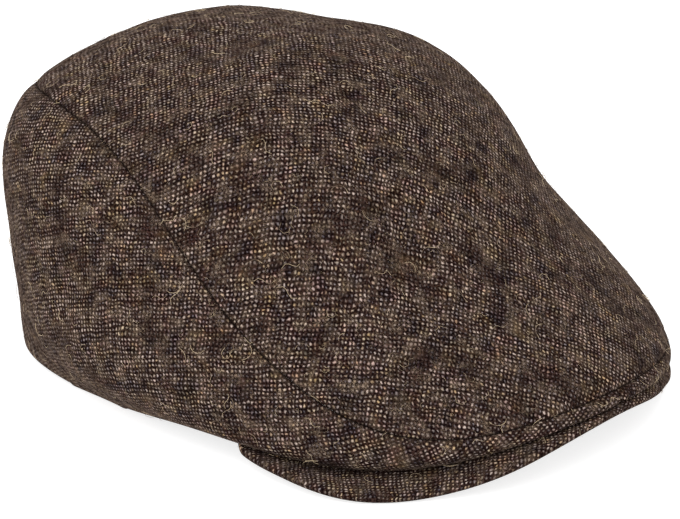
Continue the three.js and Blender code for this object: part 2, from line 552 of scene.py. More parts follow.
@dataclass
class Loops:
    """Closed cross-sections of a cloth piece, which are joined into one closed mesh.

    Attributes:
        points: Places in millimetres, as sections by points round each.
        flat: Flat places of the weave, in the same order.
        outer: How many points of each section lie on its outer face.
        painted_seam_shade: How much painted shade darkens a seam at each point, or nothing where none is.
        ring: Whether the last section meets the first.
        pole: Whether the outer face's last point and the next one are shared by all sections.
    """

    points: Array
    flat: Array
    outer: int
    painted_seam_shade: Array | None = None
    ring: bool = False
    pole: bool = False

    def numbers(self) -> Array:
        """Vertex numbers of all points, with shared poles numbered once."""
        sections, around = self.points.shape[:2]
        ids = np.arange(sections * around).reshape(sections, around)
        if self.pole:
            ids[:, self.outer - 1] = ids[0, self.outer - 1]
            ids[:, self.outer] = ids[0, self.outer]
        return ids

    def quads(self) -> tuple[Array, Array, Array]:
        """Faces between neighbouring sections.

        Returns:
            The corners as (section, point) pairs, their vertex numbers, and which faces are inner.
        """
        sections, around = self.points.shape[:2]
        first = np.arange(sections if self.ring else sections - 1)
        here, low = np.meshgrid(first, np.arange(around), indexing="ij")
        here, low = here.ravel(), low.ravel()
        beside, high = here + 1, (low + 1) % around
        places = ((here, low), (here, high), (beside, high), (beside, low))
        corners = np.stack([np.stack(place, 1) for place in places], 1)
        ids = self.numbers()
        numbered = ids[corners[..., 0] % sections, corners[..., 1]]
        inner = low >= self.outer - 1
        return corners, numbered, inner

    def ends(self) -> list[tuple[int, list[int]]]:
        """Faces that close the first and the last section, where the piece is no ring.

        Returns:
            Each face's section, and its four points in that section.
        """
        sections, around = self.points.shape[:2]
        found = []
        for section, forward in () if self.ring else ((0, False), (sections - 1, True)):
            for low in range(around // 2):
                points = [low, around - 1 - low, around - 2 - low, low + 1]
                found.append((section, points[::-1] if forward else points))
        return found

    def mesh(self, name: str) -> bpy.types.Object:
        """Makes the mesh object, with its weave map and its two material places.

        Args:
            name: The object's name.

        Returns:
            The object, linked to the scene.
        """
        around = self.points.shape[1]
        corners, numbered, inner = self.quads()
        faces, maps, places = [], [], []
        wide = self.flat if not self.ring else np.concatenate([self.flat, self.flat[:1]])
        for spots, ids, within in zip(corners, numbered, inner):
            kept = [k for k in range(4) if ids[k] != ids[k - 1]]
            faces.append([int(ids[k]) for k in kept])
            maps.extend(wide[spots[k][0], spots[k][1]] for k in kept)
            places.append(Face.INNER.value if within else Face.OUTER.value)
        for section, spots in self.ends():
            ids = [section * around + spot for spot in spots]
            if len(set(ids)) < 3:
                continue
            kept = [k for k in range(4) if ids[k] != ids[k - 1]]
            faces.append([ids[k] for k in kept])
            maps.extend(self.flat[section, spots[k]] for k in kept)
            places.append(Face.OUTER.value)
        used, index = np.unique(np.concatenate([np.array(face) for face in faces]), return_inverse=True)
        coords = self.points.reshape(-1, 3)[used] * MM
        ends = np.cumsum([len(face) for face in faces])
        faces = [list(map(int, part)) for part in np.split(index.ravel(), ends[:-1])]
        data = bpy.data.meshes.new(name)
        data.from_pydata(coords.tolist(), [], faces)
        data.polygons.foreach_set("material_index", places)
        data.polygons.foreach_set("use_smooth", [True] * len(faces))
        layer = data.uv_layers.new(name=WEAVE_MAP)
        layer.data.foreach_set("uv", (np.array(maps) * MM).ravel())
        shade = np.zeros(self.points.shape[:2]) if self.painted_seam_shade is None else self.painted_seam_shade
        mask = data.attributes.new(SEAM_SHADE_MASK, "FLOAT", "POINT")
        mask.data.foreach_set("value", shade.ravel()[used])
        data.update()
        return linked(name, data)

    def skin(self, name: str, skip: int = 3) -> bpy.types.Object:
        """Makes an open mesh of the outer face alone, to lay fibres on.

        Args:
            name: The object's name.
            skip: How many sections and points to step over.

        Returns:
            The object, linked to the scene.
        """
        part = self.points[::skip, : self.outer : skip]
        sections, around = part.shape[:2]
        ids = np.arange(sections * around).reshape(sections, around)
        beside = np.roll(ids, -1, 0) if self.ring else ids[1:]
        here = ids if self.ring else ids[:-1]
        faces = np.stack([here[:, :-1], here[:, 1:], beside[:, 1:], beside[:, :-1]], -1).reshape(-1, 4)
        data = bpy.data.meshes.new(name)
        data.from_pydata((part.reshape(-1, 3) * MM).tolist(), [], faces.tolist())
        data.update()
        return linked(name, data)


def linked(name: str, data: bpy.types.ID) -> bpy.types.Object:
    """A new object in the scene for its data."""
    made = bpy.data.objects.new(name, data)
    bpy.context.scene.collection.objects.link(made)
    return made


@dataclass(frozen=True)
class Noise:
    """A field of noise that a finish reads.

    Attributes:
        scale: Waves for each metre.
        detail: Its finer octaves.
        distortion: How far it is pulled about.
        shift: Metres that it is moved by, where it has to differ from others.
    """

    scale: float
    detail: float = 2
    distortion: float = 0
    shift: tuple[float, float, float] | None = None


class NodeSheet:
    """A node tree being laid out, with short calls for the nodes that the finishes use."""

    def __init__(self, tree: bpy.types.NodeTree) -> None:
        """Starts on a tree.

        Args:
            tree: The tree to fill.
        """
        self.tree = tree

    def add(self, kind: str, **values: object) -> bpy.types.Node:
        """Adds a node and sets its plain properties.

        Args:
            kind: The node's type.
            **values: Property names and values.

        Returns:
            The node.
        """
        node = self.tree.nodes.new(kind)
        for name, value in values.items():
            setattr(node, name, value)
        return node

    def feed(self, socket: Socket, value: object) -> None:
        """Links a socket to another one, or sets it to a plain value.

        Args:
            socket: The input to feed.
            value: An output socket, a number, a vector or a colour.
        """
        if isinstance(value, Socket):
            self.tree.links.new(value, socket)
        else:
            socket.default_value = value

    def fill(self, node: bpy.types.Node, values: dict[str, object]) -> None:
        """Feeds several of a node's inputs.

        Args:
            node: The node.
            values: What each named input is fed.
        """
        for name, value in values.items():
            self.feed(node.inputs[name], value)

    def math(self, how: str, *values: object, clamp: bool = False) -> Socket:
        """A Math node.

        Args:
            how: Its operation.
            *values: Its inputs in order.
            clamp: Whether the result is kept between 0 and 1.

        Returns:
            Its output.
        """
        node = self.add("ShaderNodeMath", operation=how, use_clamp=clamp)
        for socket, value in zip(node.inputs, values):
            self.feed(socket, value)
        return node.outputs[0]

    def ranged(self, value: object, least: object, more: float) -> Socket:
        """A least value, and more of it as a reading grows.

        Args:
            value: The reading.
            least: The result where the reading is 0.
            more: What a reading of 1 adds.

        Returns:
            The result.
        """
        return self.math("ADD", least, self.math("MULTIPLY", value, more))

    def parts(self, value: object, kind: str = "XYZ") -> tuple[Socket, ...]:
        """The three parts of a vector or a colour.

        Args:
            value: What is taken apart.
            kind: XYZ or Color.

        Returns:
            Its parts.
        """
        node = self.add(f"ShaderNodeSeparate{kind}")
        self.feed(node.inputs[0], value)
        return tuple(node.outputs)

    def vector(self, how: str, *values: object) -> Socket:
        """A Vector Math node.

        Args:
            how: Its operation.
            *values: Its inputs in order.

        Returns:
            Its vector output.
        """
        node = self.add("ShaderNodeVectorMath", operation=how)
        for socket, value in zip(node.inputs, values):
            self.feed(socket, value)
        return node.outputs[0]

    def step(self, value: object, low: float, high: float) -> Socket:
        """A smooth step from 0 at the low value to 1 at the high one.

        Args:
            value: What is read.
            low: Where the step starts.
            high: Where it ends.

        Returns:
            The stepped value.
        """
        node = self.add("ShaderNodeMapRange", interpolation_type="SMOOTHSTEP")
        for socket, given in zip(node.inputs, (value, low, high, 0.0, 1.0)):
            self.feed(socket, given)
        return node.outputs[0]

    def noise(self, where: object, field: Noise, output: str = "Fac") -> Socket:
        """A Noise Texture node.

        Args:
            where: The vector it reads.
            field: Its sizes.
            output: Fac or Color.

        Returns:
            The output.
        """
        if field.shift is not None:
            where = self.vector("ADD", where, field.shift)
        node = self.add("ShaderNodeTexNoise")
        self.fill(node, {
            "Vector": where, "Scale": field.scale, "Detail": field.detail, "Distortion": field.distortion,
        })
        return node.outputs[output]

    def mix(self, share: object, first: object, second: object, how: str = "MIX") -> Socket:
        """A colour Mix node.

        Args:
            share: How much of the second colour.
            first: The first colour.
            second: The second colour.
            how: The blend.

        Returns:
            The mixed colour.
        """
        # A Mix node keeps its colours at inputs 6 and 7, and at output 2.
        node = self.add("ShaderNodeMix", data_type="RGBA", blend_type=how)
        self.feed(node.inputs[0], share)
        self.feed(node.inputs[6], first)
        self.feed(node.inputs[7], second)
        return node.outputs[2]


class TweedPattern:
    """The tweed's node group: light floats in a square lattice on dark ground, with slubs and fuzz.

    A step is a pair of readings, at which it is 0 and 1. A range is its least value and what a full
    reading adds to it. Lengths in the weave are counted in cells.
    """

    NAME = "Tweed weave"
    INPUTS = (
        ("Place", "NodeSocketVector"), ("Pitch", "NodeSocketFloat"), ("Ground", "NodeSocketColor"),
        ("Thread", "NodeSocketColor"), ("Light", "NodeSocketColor"), ("Warm", "NodeSocketColor"),
        ("Cool", "NodeSocketColor"), ("Dots", "NodeSocketFloat"), ("Blotches", "NodeSocketFloat"),
        ("Fuzz", "NodeSocketFloat"), ("Nap and sheen", "NodeSocketFloat"), ("Nap sheen tint", "NodeSocketColor"),
        ("Painted seam shade", "NodeSocketFloat"), ("Ochre", "NodeSocketColor"), ("Russet", "NodeSocketColor"),
        ("Slate", "NodeSocketColor"),
    )

    # How far the yarns wander, broadly and closely.
    NOISE_MIDDLE = (0.5, 0.5, 0.5)
    SWAY, SWAY_REACH = Noise(140, 1), (1.6, 1.6, 0)
    JITTER, JITTER_REACH = Noise(900, 1), (0.65, 0.65, 0)

    # The floats: their form, how they differ in size and light, and how whole yarns differ.
    CELL_MIDDLE = (0.5, 0.5, 0)
    ACROSS, ALONG = 1.15, 0.9
    SIZE_RANGE, EDGE_STEP = (0.9, 0.35), (0.56, 0.1)
    LIGHT_RANGE, YARN_RANGE = (0.5, 0.65), (0.75, 0.25)
    YARN_SHIFTS = (0.37, 11.73)

    # The wool: dark and tan patches, broad drifts, grit, and how far each one tells.
    DARK, DARK_STEP = Noise(75, 5, 0.6), (0.52, 0.34)
    TAN, TAN_STEP = Noise(120, 4, 0.8, (0.31, 0.17, 0)), (0.54, 0.78)
    BROAD, BROAD_RANGE = Noise(28, 2, 0, (0.73, 0.4, 0)), (0.7, 0.6)
    GRIT, GRIT_STEP, GRIT_LEAST, GRIT_RELIEF = Noise(1300, 3), (0.4, 0.72), 0.45, 0.5
    WARM_STEP, COOL_STEP = (0.65, 1.0), (0.6, 0.9)
    DARK_DULLING, DARK_COOLING = 0.6, 0.5
    TAN_WARMING, GROUND_WARMING = 0.75, 0.08
    DYES = (
        ("Ochre", Noise(150, 3, 0.5, (1.7, 1.7, 0))),
        ("Russet", Noise(170, 3, 0.5, (2.9, 2.9, 0))),
        ("Slate", Noise(125, 3, 0.5, (4.3, 4.3, 0))),
    )
    DYE_STEP = (0.48, 0.66)

    # The hairs that lie over the weave: two nets with the width of their strands, and where they grow.
    NETS = ((Noise(420, 3, 2.2), 0.02), (Noise(640, 2, 2.5, (0.5, 0.9, 0)), 0.025))
    HAIRY, HAIRY_STEP = Noise(190, 3), (0.46, 0.68)
    HAIR_SHOWS, HAIR_WARMTH, HAIR_RELIEF = 0.55, 0.75, 0.6

    # The nap seen edge on, with its painted sheen, and the painted shade in a seam.
    TUFT, TUFT_STEP = Noise(330, 4, 0.8), (0.42, 0.6)
    CRUSH, CRUSH_LEAST = Noise(350, 2), 0.15

    def __init__(self, tree: bpy.types.NodeTree) -> None:
        """Gives an empty group its sockets.

        Args:
            tree: The group to fill.
        """
        for name, kind in self.INPUTS:
            tree.interface.new_socket(name, in_out="INPUT", socket_type=kind)
        tree.interface.new_socket("Color", in_out="OUTPUT", socket_type="NodeSocketColor")
        tree.interface.new_socket("Height", in_out="OUTPUT", socket_type="NodeSocketFloat")
        self.sheet = NodeSheet(tree)
        self.given = self.sheet.add("NodeGroupInput").outputs
        self.done = self.sheet.add("NodeGroupOutput").inputs
        self.place = self.given["Place"]
        self.grit = self.sheet.noise(self.place, self.GRIT)

    @classmethod
    def group(cls) -> bpy.types.NodeTree:
        """The pattern, ready for a material.

        Returns:
            The node group, built on the first call.
        """
        if cls.NAME not in bpy.data.node_groups:
            cls(bpy.data.node_groups.new(cls.NAME, "ShaderNodeTree")).draw()
        return bpy.data.node_groups[cls.NAME]

    def draw(self) -> None:
        """Lays out the whole pattern, from the lattice up to the hairs, the nap with its painted sheen and
        the painted shade in the seams.
        """
        sheet, given = self.sheet, self.given
        cell, local = self.lattice()
        drawn = self.drawn(cell)
        spot = self.spot(local, drawn[2])
        dark, tan = self.patches()
        strength = self.strength(spot, drawn[0], self.yarns(cell), dark)
        colour = self.dyed(sheet.mix(strength, self.ground(tan), self.light(drawn, dark, tan)))
        hair = self.hair()
        halo = sheet.mix(self.HAIR_WARMTH, given["Light"], given["Warm"])
        sheet.feed(self.done["Color"], self.nap_sheen_and_seam_shade(sheet.mix(hair, colour, halo)))
        height = sheet.ranged(self.grit, spot, self.GRIT_RELIEF)
        sheet.feed(self.done["Height"], sheet.ranged(hair, height, self.HAIR_RELIEF))

    def lattice(self) -> tuple[Socket, Socket]:
        """The weave's cells. Yarns wander a little, so the lattice is never quite straight.

        Returns:
            Each place's cell, and where the place lies about the cell's middle.
        """
        sheet = self.sheet
        yarns = sheet.add("ShaderNodeVectorMath", operation="SCALE")
        sheet.feed(yarns.inputs[0], self.place)
        sheet.feed(yarns.inputs["Scale"], sheet.math("DIVIDE", 1.0, self.given["Pitch"]))
        where = yarns.outputs[0]
        for noise, reach in ((self.SWAY, self.SWAY_REACH), (self.JITTER, self.JITTER_REACH)):
            drift = sheet.vector("SUBTRACT", sheet.noise(self.place, noise, "Color"), self.NOISE_MIDDLE)
            where = sheet.vector("ADD", where, sheet.vector("MULTIPLY", drift, reach))
        local = sheet.vector("SUBTRACT", sheet.vector("FRACTION", where), self.CELL_MIDDLE)
        return sheet.vector("FLOOR", where), local

    def drawn(self, cell: Socket) -> tuple[Socket, ...]:
        """Three random values for each cell.

        Args:
            cell: The cell of each place.

        Returns:
            The values, from 0 to 1.
        """
        chance = self.sheet.add("ShaderNodeTexWhiteNoise", noise_dimensions="3D")
        self.sheet.feed(chance.inputs["Vector"], cell)
        return self.sheet.parts(chance.outputs["Color"], "Color")

    def spot(self, local: Socket, draw: Socket) -> Socket:
        """One light float in each cell, longer on one diagonal.

        Args:
            local: Places about the cell's middle.
            draw: A random value that sizes each float.

        Returns:
            The floats' mask.
        """
        sheet = self.sheet
        x, y, _ = sheet.parts(local)
        squares = []
        for how, squeeze in (("ADD", self.ACROSS), ("SUBTRACT", self.ALONG)):
            off = sheet.math("ABSOLUTE", sheet.math(how, x, y))
            squares.append(sheet.math("POWER", sheet.math("MULTIPLY", off, squeeze), 2.0))
        far = sheet.math("SQRT", sheet.math("ADD", *squares))
        scaled = sheet.math("MULTIPLY", far, sheet.ranged(draw, *self.SIZE_RANGE))
        return sheet.step(scaled, *self.EDGE_STEP)

    def yarns(self, cell: Socket) -> Socket:
        """Whole yarns that are lighter or darker, along and across.

        Args:
            cell: The cell of each place.

        Returns:
            A share that the float's light is multiplied by.
        """
        sheet = self.sheet
        runs = []
        for number, shift in zip(sheet.parts(cell), self.YARN_SHIFTS):
            yarn = sheet.add("ShaderNodeTexWhiteNoise", noise_dimensions="1D")
            sheet.feed(yarn.inputs["W"], sheet.math("ADD", number, shift))
            runs.append(yarn.outputs["Value"])
        return sheet.ranged(sheet.math("ADD", *runs), *self.YARN_RANGE)

    def patches(self) -> list[Socket]:
        """Dark patches and tan patches in the dyed wool.

        Returns:
            The two masks.
        """
        sheet = self.sheet
        masks = []
        for noise, step in ((self.DARK, self.DARK_STEP), (self.TAN, self.TAN_STEP)):
            patch = sheet.step(sheet.noise(self.place, noise), *step)
            masks.append(sheet.math("MULTIPLY", patch, self.given["Blotches"]))
        return masks

    def strength(self, spot: Socket, draw: Socket, run: Socket, dark: Socket) -> Socket:
        """How strongly each float shows over the ground.

        Args:
            spot: The floats' mask.
            draw: A random value that lights each float.
            run: How light its yarns are.
            dark: The dark patches' mask.

        Returns:
            The share of the float's colour.
        """
        sheet = self.sheet
        shine = sheet.ranged(sheet.math("POWER", draw, 2.0), *self.LIGHT_RANGE)
        clear = sheet.math("SUBTRACT", 1.0, sheet.math("MULTIPLY", dark, self.DARK_DULLING))
        broad = sheet.ranged(sheet.noise(self.place, self.BROAD), *self.BROAD_RANGE)
        rough = sheet.math("ADD", self.GRIT_LEAST, self.grit)
        strength = spot
        for share in (shine, run, clear, broad, rough):
            strength = sheet.math("MULTIPLY", strength, share)
        return sheet.math("MULTIPLY", strength, self.given["Dots"], clamp=True)

    def light(self, drawn: tuple[Socket, ...], dark: Socket, tan: Socket) -> Socket:
        """The floats' colour.

        Args:
            drawn: Three random values for each cell.
            dark: The dark patches' mask.
            tan: The tan patches' mask.

        Returns:
            The colour.
        """
        sheet = self.sheet
        pale, warm, cool = (self.given[name] for name in ("Light", "Warm", "Cool"))
        tint = sheet.mix(sheet.step(drawn[1], *self.WARM_STEP), pale, warm)
        tint = sheet.mix(sheet.step(drawn[2], *self.COOL_STEP), tint, cool)
        tint = sheet.mix(sheet.math("MULTIPLY", tan, self.TAN_WARMING), tint, warm)
        return sheet.mix(sheet.math("MULTIPLY", dark, self.DARK_COOLING), tint, cool)

    def ground(self, tan: Socket) -> Socket:
        """The dark ground's colour, gritty, and a little warmer in tan patches.

        Args:
            tan: The tan patches' mask.

        Returns:
            The colour.
        """
        sheet, given = self.sheet, self.given
        base = sheet.mix(sheet.step(self.grit, *self.GRIT_STEP), given["Ground"], given["Thread"])
        return sheet.mix(sheet.math("MULTIPLY", tan, self.GROUND_WARMING), base, given["Warm"])

    def dyed(self, colour: Socket) -> Socket:
        """Wools of three other dyes, carded in unevenly.

        Args:
            colour: The weave's colour.

        Returns:
            The colour with the dyes.
        """
        sheet = self.sheet
        for name, noise in self.DYES:
            dye = sheet.step(sheet.noise(self.place, noise), *self.DYE_STEP)
            share = sheet.math("MULTIPLY", dye, self.given["Blotches"])
            colour = sheet.mix(share, colour, self.given[name], "MULTIPLY")
        return colour

    def hair(self) -> Socket:
        """Fine curly fibres that lie over the weave.

        Returns:
            Their mask.
        """
        sheet = self.sheet
        strands = []
        for noise, width in self.NETS:
            off = sheet.math("ABSOLUTE", sheet.math("SUBTRACT", sheet.noise(self.place, noise), 0.5))
            strands.append(sheet.step(off, width, 0.0))
        hairy = sheet.step(sheet.noise(self.place, self.HAIRY), *self.HAIRY_STEP)
        hair = sheet.math("MULTIPLY", sheet.math("MAXIMUM", *strands), hairy)
        return sheet.math("MULTIPLY", hair, sheet.math("MULTIPLY", self.given["Fuzz"], self.HAIR_SHOWS))

    def nap_sheen_and_seam_shade(self, colour: Socket) -> Socket:
        """The nap over the cloth, whose paler colour seen edge on is painted sheen, and the painted shade
        in the seams.

        Args:
            colour: The cloth's colour.

        Returns:
            The finished colour.
        """
        sheet, given = self.sheet, self.given
        tuft = sheet.step(sheet.noise(self.place, self.TUFT), *self.TUFT_STEP)
        # Seen edge on, the nap hides the weave, and its paler colour there is painted sheen.
        colour = sheet.mix(given["Nap and sheen"], colour, sheet.mix(tuft, given["Ground"], given["Nap sheen tint"]))
        # Painted shade in the seams, broken up by noise.
        seam_shaded = sheet.math("ADD", self.CRUSH_LEAST, sheet.noise(self.place, self.CRUSH))
        seam_shaded = sheet.math("MULTIPLY", given["Painted seam shade"], seam_shaded, clamp=True)
        return sheet.mix(seam_shaded, colour, given["Ground"])


@dataclass(frozen=True)
class TweedFinish:
    """A hairy two-colour tweed, with its own yarns for each face of the cloth."""

    name: str
    ground: Colour = (0.005, 0.0022, 0.002, 1)
    thread: Colour = (0.044, 0.025, 0.0198, 1)
    light: Colour = (0.465, 0.37, 0.322, 1)
    warm: Colour = (0.4, 0.28, 0.18, 1)
    cool: Colour = (0.2, 0.165, 0.165, 1)
    # The nap's colour, which is painted sheen where the cloth is seen edge on.
    nap_sheen_tint: Colour = (0.15, 0.108, 0.086, 1)
    ochre: Colour = (1.1, 1.08, 0.85, 1)
    russet: Colour = (1.06, 0.92, 0.93, 1)
    slate: Colour = (0.55, 0.58, 0.68, 1)
    dots: float = 1.0
    blotches: float = 1.0
    fuzz: float = 1.0
    # How far the nap and its painted sheen show, and the facing readings over which they come in.
    nap_and_sheen: float = 0.45
    nap_sheen_step: Pair = (0.5, 0.95)
    pitch: float = 0.00152
    roughness: float = 0.95
    sheen: float = 0.03
    sheen_roughness: float = 0.4
    sheen_tint: Colour = (1.0, 0.74, 0.58, 1)
    bump: float = 0.55
    relief: float = 0.0006

    def material(self) -> bpy.types.Material:
        """Makes the finish.

        Returns:
            The material.
        """
        made = bpy.data.materials.new(self.name)
        made.use_nodes = True
        sheet = NodeSheet(made.node_tree)
        weave = sheet.add("ShaderNodeGroup")
        weave.node_tree = TweedPattern.group()
        # Seen edge on, the nap hides the weave, and its paler colour there is painted sheen.
        facing = sheet.add("ShaderNodeLayerWeight").outputs["Facing"]
        bump = sheet.add("ShaderNodeBump")
        sheet.fill(weave, {
            "Place": sheet.add("ShaderNodeUVMap", uv_map=WEAVE_MAP).outputs[0],
            "Pitch": self.pitch, "Ground": self.ground, "Thread": self.thread, "Light": self.light,
            "Warm": self.warm, "Cool": self.cool, "Dots": self.dots, "Blotches": self.blotches,
            "Fuzz": self.fuzz, "Nap sheen tint": self.nap_sheen_tint, "Ochre": self.ochre,
            "Russet": self.russet, "Slate": self.slate,
            "Nap and sheen": sheet.math("MULTIPLY", sheet.step(facing, *self.nap_sheen_step), self.nap_and_sheen),
            # The painted shade in the seams.
            "Painted seam shade": sheet.add("ShaderNodeAttribute", attribute_name=SEAM_SHADE_MASK).outputs["Fac"],
        })
        sheet.fill(bump, {
            "Strength": self.bump, "Distance": self.relief, "Height": weave.outputs["Height"],
        })
        sheet.fill(made.node_tree.nodes["Principled BSDF"], {
            "Base Color": weave.outputs["Color"], "Roughness": self.roughness, "Specular IOR Level": 0.0,
            "Sheen Weight": self.sheen, "Sheen Roughness": self.sheen_roughness,
            "Sheen Tint": self.sheen_tint, "Normal": bump.outputs[0],
        })
        return made


@dataclass(frozen=True)
class FibreFinish:
    """Coarse undyed hairs that stand out of the tweed."""

    name: str = "stray wool"
    pale: Colour = (0.58, 0.45, 0.29, 1)
    brown: Colour = (0.14, 0.09, 0.06, 1)
    drift: Noise = Noise(130, 2)
    pale_step: Pair = (0.4, 0.6)
    roughness: float = 0.6
    specular: float = 0.3

    def material(self) -> bpy.types.Material:
        """Makes the finish.

        Returns:
            The material.
        """
        made = bpy.data.materials.new(self.name)
        made.use_nodes = True
        sheet = NodeSheet(made.node_tree)
        drift = sheet.noise(sheet.add("ShaderNodeTexCoord").outputs["Object"], self.drift)
        sheet.fill(made.node_tree.nodes["Principled BSDF"], {
            "Base Color": sheet.mix(sheet.step(drift, *self.pale_step), self.brown, self.pale),
            "Roughness": self.roughness, "Specular IOR Level": self.specular,
        })
        return made


class Draw(Enum):
    """The random draws made for each hair, as the seed that tells them apart."""

    ABOUT = 1
    TILT = 2
    SIZE = 3
    SHAPE = 4


@dataclass(frozen=True)
class StrayFibres:
    """Curled hairs scattered over a panel's outer face."""

    density: float = 38000
    length: float = 0.0016
    thickness: float = 0.026
    clearance: float = 0.004
    seed: int = 5

    TREE = "Stray fibres"
    INPUTS = (
        ("Density", "NodeSocketFloat"), ("Length", "NodeSocketFloat"), ("Thickness", "NodeSocketFloat"),
        ("Clearance", "NodeSocketFloat"), ("Seed", "NodeSocketInt"), ("Material", "NodeSocketMaterial"),
    )
    TILT = (-0.1, 0.34)
    SIZE_RANGE, SIZE_POWER = (0.3, 1.8), 4.0
    TUBE_SIDES, BEND_STEPS = 3, 5
    BOW = ((-1, 0, 0), (-0.5, 0.9, 0.25), (0.5, 0.8, 0.3), (1, -0.1, 0.1))
    WAVE = ((-1.2, 0, 0), (-0.3, 1.1, 0.3), (0.2, -1.2, 0.2), (1.2, 0.2, 0.25))
    CURL = {"Resolution": 7, "Rotations": 0.85, "Start Radius": 0.35, "End Radius": 0.8, "Height": 0.2}

    @classmethod
    def tree(cls) -> bpy.types.NodeTree:
        """The scattering tree.

        Returns:
            The geometry node tree, built on the first call.
        """
        if cls.TREE in bpy.data.node_groups:
            return bpy.data.node_groups[cls.TREE]
        tree = bpy.data.node_groups.new(cls.TREE, "GeometryNodeTree")
        face = tree.interface
        face.new_socket("Geometry", in_out="INPUT", socket_type="NodeSocketGeometry")
        for name, kind in cls.INPUTS:
            face.new_socket(name, in_out="INPUT", socket_type=kind)
        face.new_socket("Geometry", in_out="OUTPUT", socket_type="NodeSocketGeometry")
        sheet = NodeSheet(tree)
        given = sheet.add("NodeGroupInput").outputs
        done = sheet.add("NodeGroupOutput").inputs
        scatter = cls.scattered(sheet, given)
        grow = sheet.add("GeometryNodeInstanceOnPoints")
        sheet.fill(grow, {
            "Points": scatter.outputs["Points"],
            "Instance": cls.bundle(sheet, given["Thickness"]),
            "Pick Instance": True,
            "Instance Index": cls.random(sheet, Draw.SHAPE, 0, 2, "INT"),
            "Rotation": cls.turned(sheet, scatter.outputs["Rotation"]),
            "Scale": cls.sized(sheet, given["Length"]),
        })
        real = sheet.add("GeometryNodeRealizeInstances")
        sheet.feed(real.inputs[0], grow.outputs[0])
        smooth = sheet.add("GeometryNodeSetShadeSmooth")
        sheet.feed(smooth.inputs[0], real.outputs[0])
        dress = sheet.add("GeometryNodeSetMaterial")
        sheet.fill(dress, {"Geometry": smooth.outputs[0], "Material": given["Material"]})
        sheet.feed(done[0], dress.outputs[0])
        return tree

    @staticmethod
    def scattered(sheet: NodeSheet, given: bpy.types.bpy_prop_collection) -> bpy.types.Node:
        """Strews points over the skin, clear of what the cap rests on.

        Args:
            sheet: The tree to add to.
            given: The tree's inputs.

        Returns:
            The scattering node.
        """
        height = sheet.parts(sheet.add("GeometryNodeInputPosition").outputs[0])[2]
        clear = sheet.add("FunctionNodeCompare", data_type="FLOAT", operation="GREATER_THAN")
        sheet.feed(clear.inputs[0], height)
        sheet.feed(clear.inputs[1], given["Clearance"])
        scatter = sheet.add("GeometryNodeDistributePointsOnFaces", distribute_method="RANDOM")
        sheet.fill(scatter, {
            "Mesh": given["Geometry"], "Density": given["Density"], "Seed": given["Seed"],
            "Selection": clear.outputs[0],
        })
        return scatter

    @classmethod
    def bundle(cls, sheet: NodeSheet, thickness: Socket) -> Socket:
        """The three shapes of hair as thin tubes, each an instance to pick from.

        Args:
            sheet: The tree to add to.
            thickness: The tube's radius, for a hair about one unit long.

        Returns:
            The joined instances.
        """
        profile = sheet.add("GeometryNodeCurvePrimitiveCircle")
        sheet.fill(profile, {"Resolution": cls.TUBE_SIDES, "Radius": thickness})
        bundle = sheet.add("GeometryNodeJoinGeometry")
        for curve in cls.curls(sheet):
            tube = sheet.add("GeometryNodeCurveToMesh")
            sheet.fill(tube, {"Curve": curve, "Profile Curve": profile.outputs[0], "Fill Caps": True})
            whole = sheet.add("GeometryNodeGeometryToInstance")
            sheet.feed(whole.inputs[0], tube.outputs[0])
            sheet.feed(bundle.inputs[0], whole.outputs[0])
        return bundle.outputs[0]

    @classmethod
    def curls(cls, sheet: NodeSheet) -> list[Socket]:
        """Three shapes of hair about one unit long: a bow, a wave and a curl.

        Args:
            sheet: The tree to add them to.

        Returns:
            Their curve outputs.
        """
        curves = []
        for handles in (cls.BOW, cls.WAVE):
            bend = sheet.add("GeometryNodeCurvePrimitiveBezierSegment")
            sheet.fill(bend, dict(zip(("Start", "Start Handle", "End Handle", "End"), handles)))
            sheet.feed(bend.inputs["Resolution"], cls.BEND_STEPS)
            curves.append(bend.outputs[0])
        curl = sheet.add("GeometryNodeCurveSpiral")
        sheet.fill(curl, cls.CURL)
        return [*curves, curl.outputs[0]]

    @classmethod
    def turned(cls, sheet: NodeSheet, upright: Socket) -> Socket:
        """Each hair's rotation: turned about its root, then tilted.

        Args:
            sheet: The tree to add to.
            upright: The skin's own rotation at the root.

        Returns:
            The rotation.
        """
        about = cls.random(sheet, Draw.ABOUT, 0.0, 2 * math.pi)
        tilt = cls.random(sheet, Draw.TILT, *cls.TILT)
        return cls.rotated(sheet, cls.rotated(sheet, upright, (0, 0, 1), about), (0, 1, 0), tilt)

    @classmethod
    def sized(cls, sheet: NodeSheet, length: Socket) -> Socket:
        """Each hair's size: most are short down, and a few are long and curled.

        Args:
            sheet: The tree to add to.
            length: The length that sizes are a share of.

        Returns:
            The size.
        """
        drawn = sheet.math("POWER", cls.random(sheet, Draw.SIZE, 0.0, 1.0), cls.SIZE_POWER)
        return sheet.math("MULTIPLY", sheet.ranged(drawn, *cls.SIZE_RANGE), length)

    @staticmethod
    def random(sheet: NodeSheet, draw: Draw, low: float, high: float, kind: str = "FLOAT") -> Socket:
        """A random value for each hair.

        Args:
            sheet: The tree to add it to.
            draw: Which of the draws it is.
            low: The least value.
            high: The greatest value.
            kind: FLOAT or INT.

        Returns:
            The value.
        """
        # The node keeps a pair of limits and an output for each kind.
        node = sheet.add("FunctionNodeRandomValue", data_type=kind)
        least, greatest, output = (2, 3, 1) if kind == "FLOAT" else (4, 5, 2)
        sheet.feed(node.inputs[least], low)
        sheet.feed(node.inputs[greatest], high)
        sheet.feed(node.inputs["Seed"], draw.value)
        return node.outputs[output]

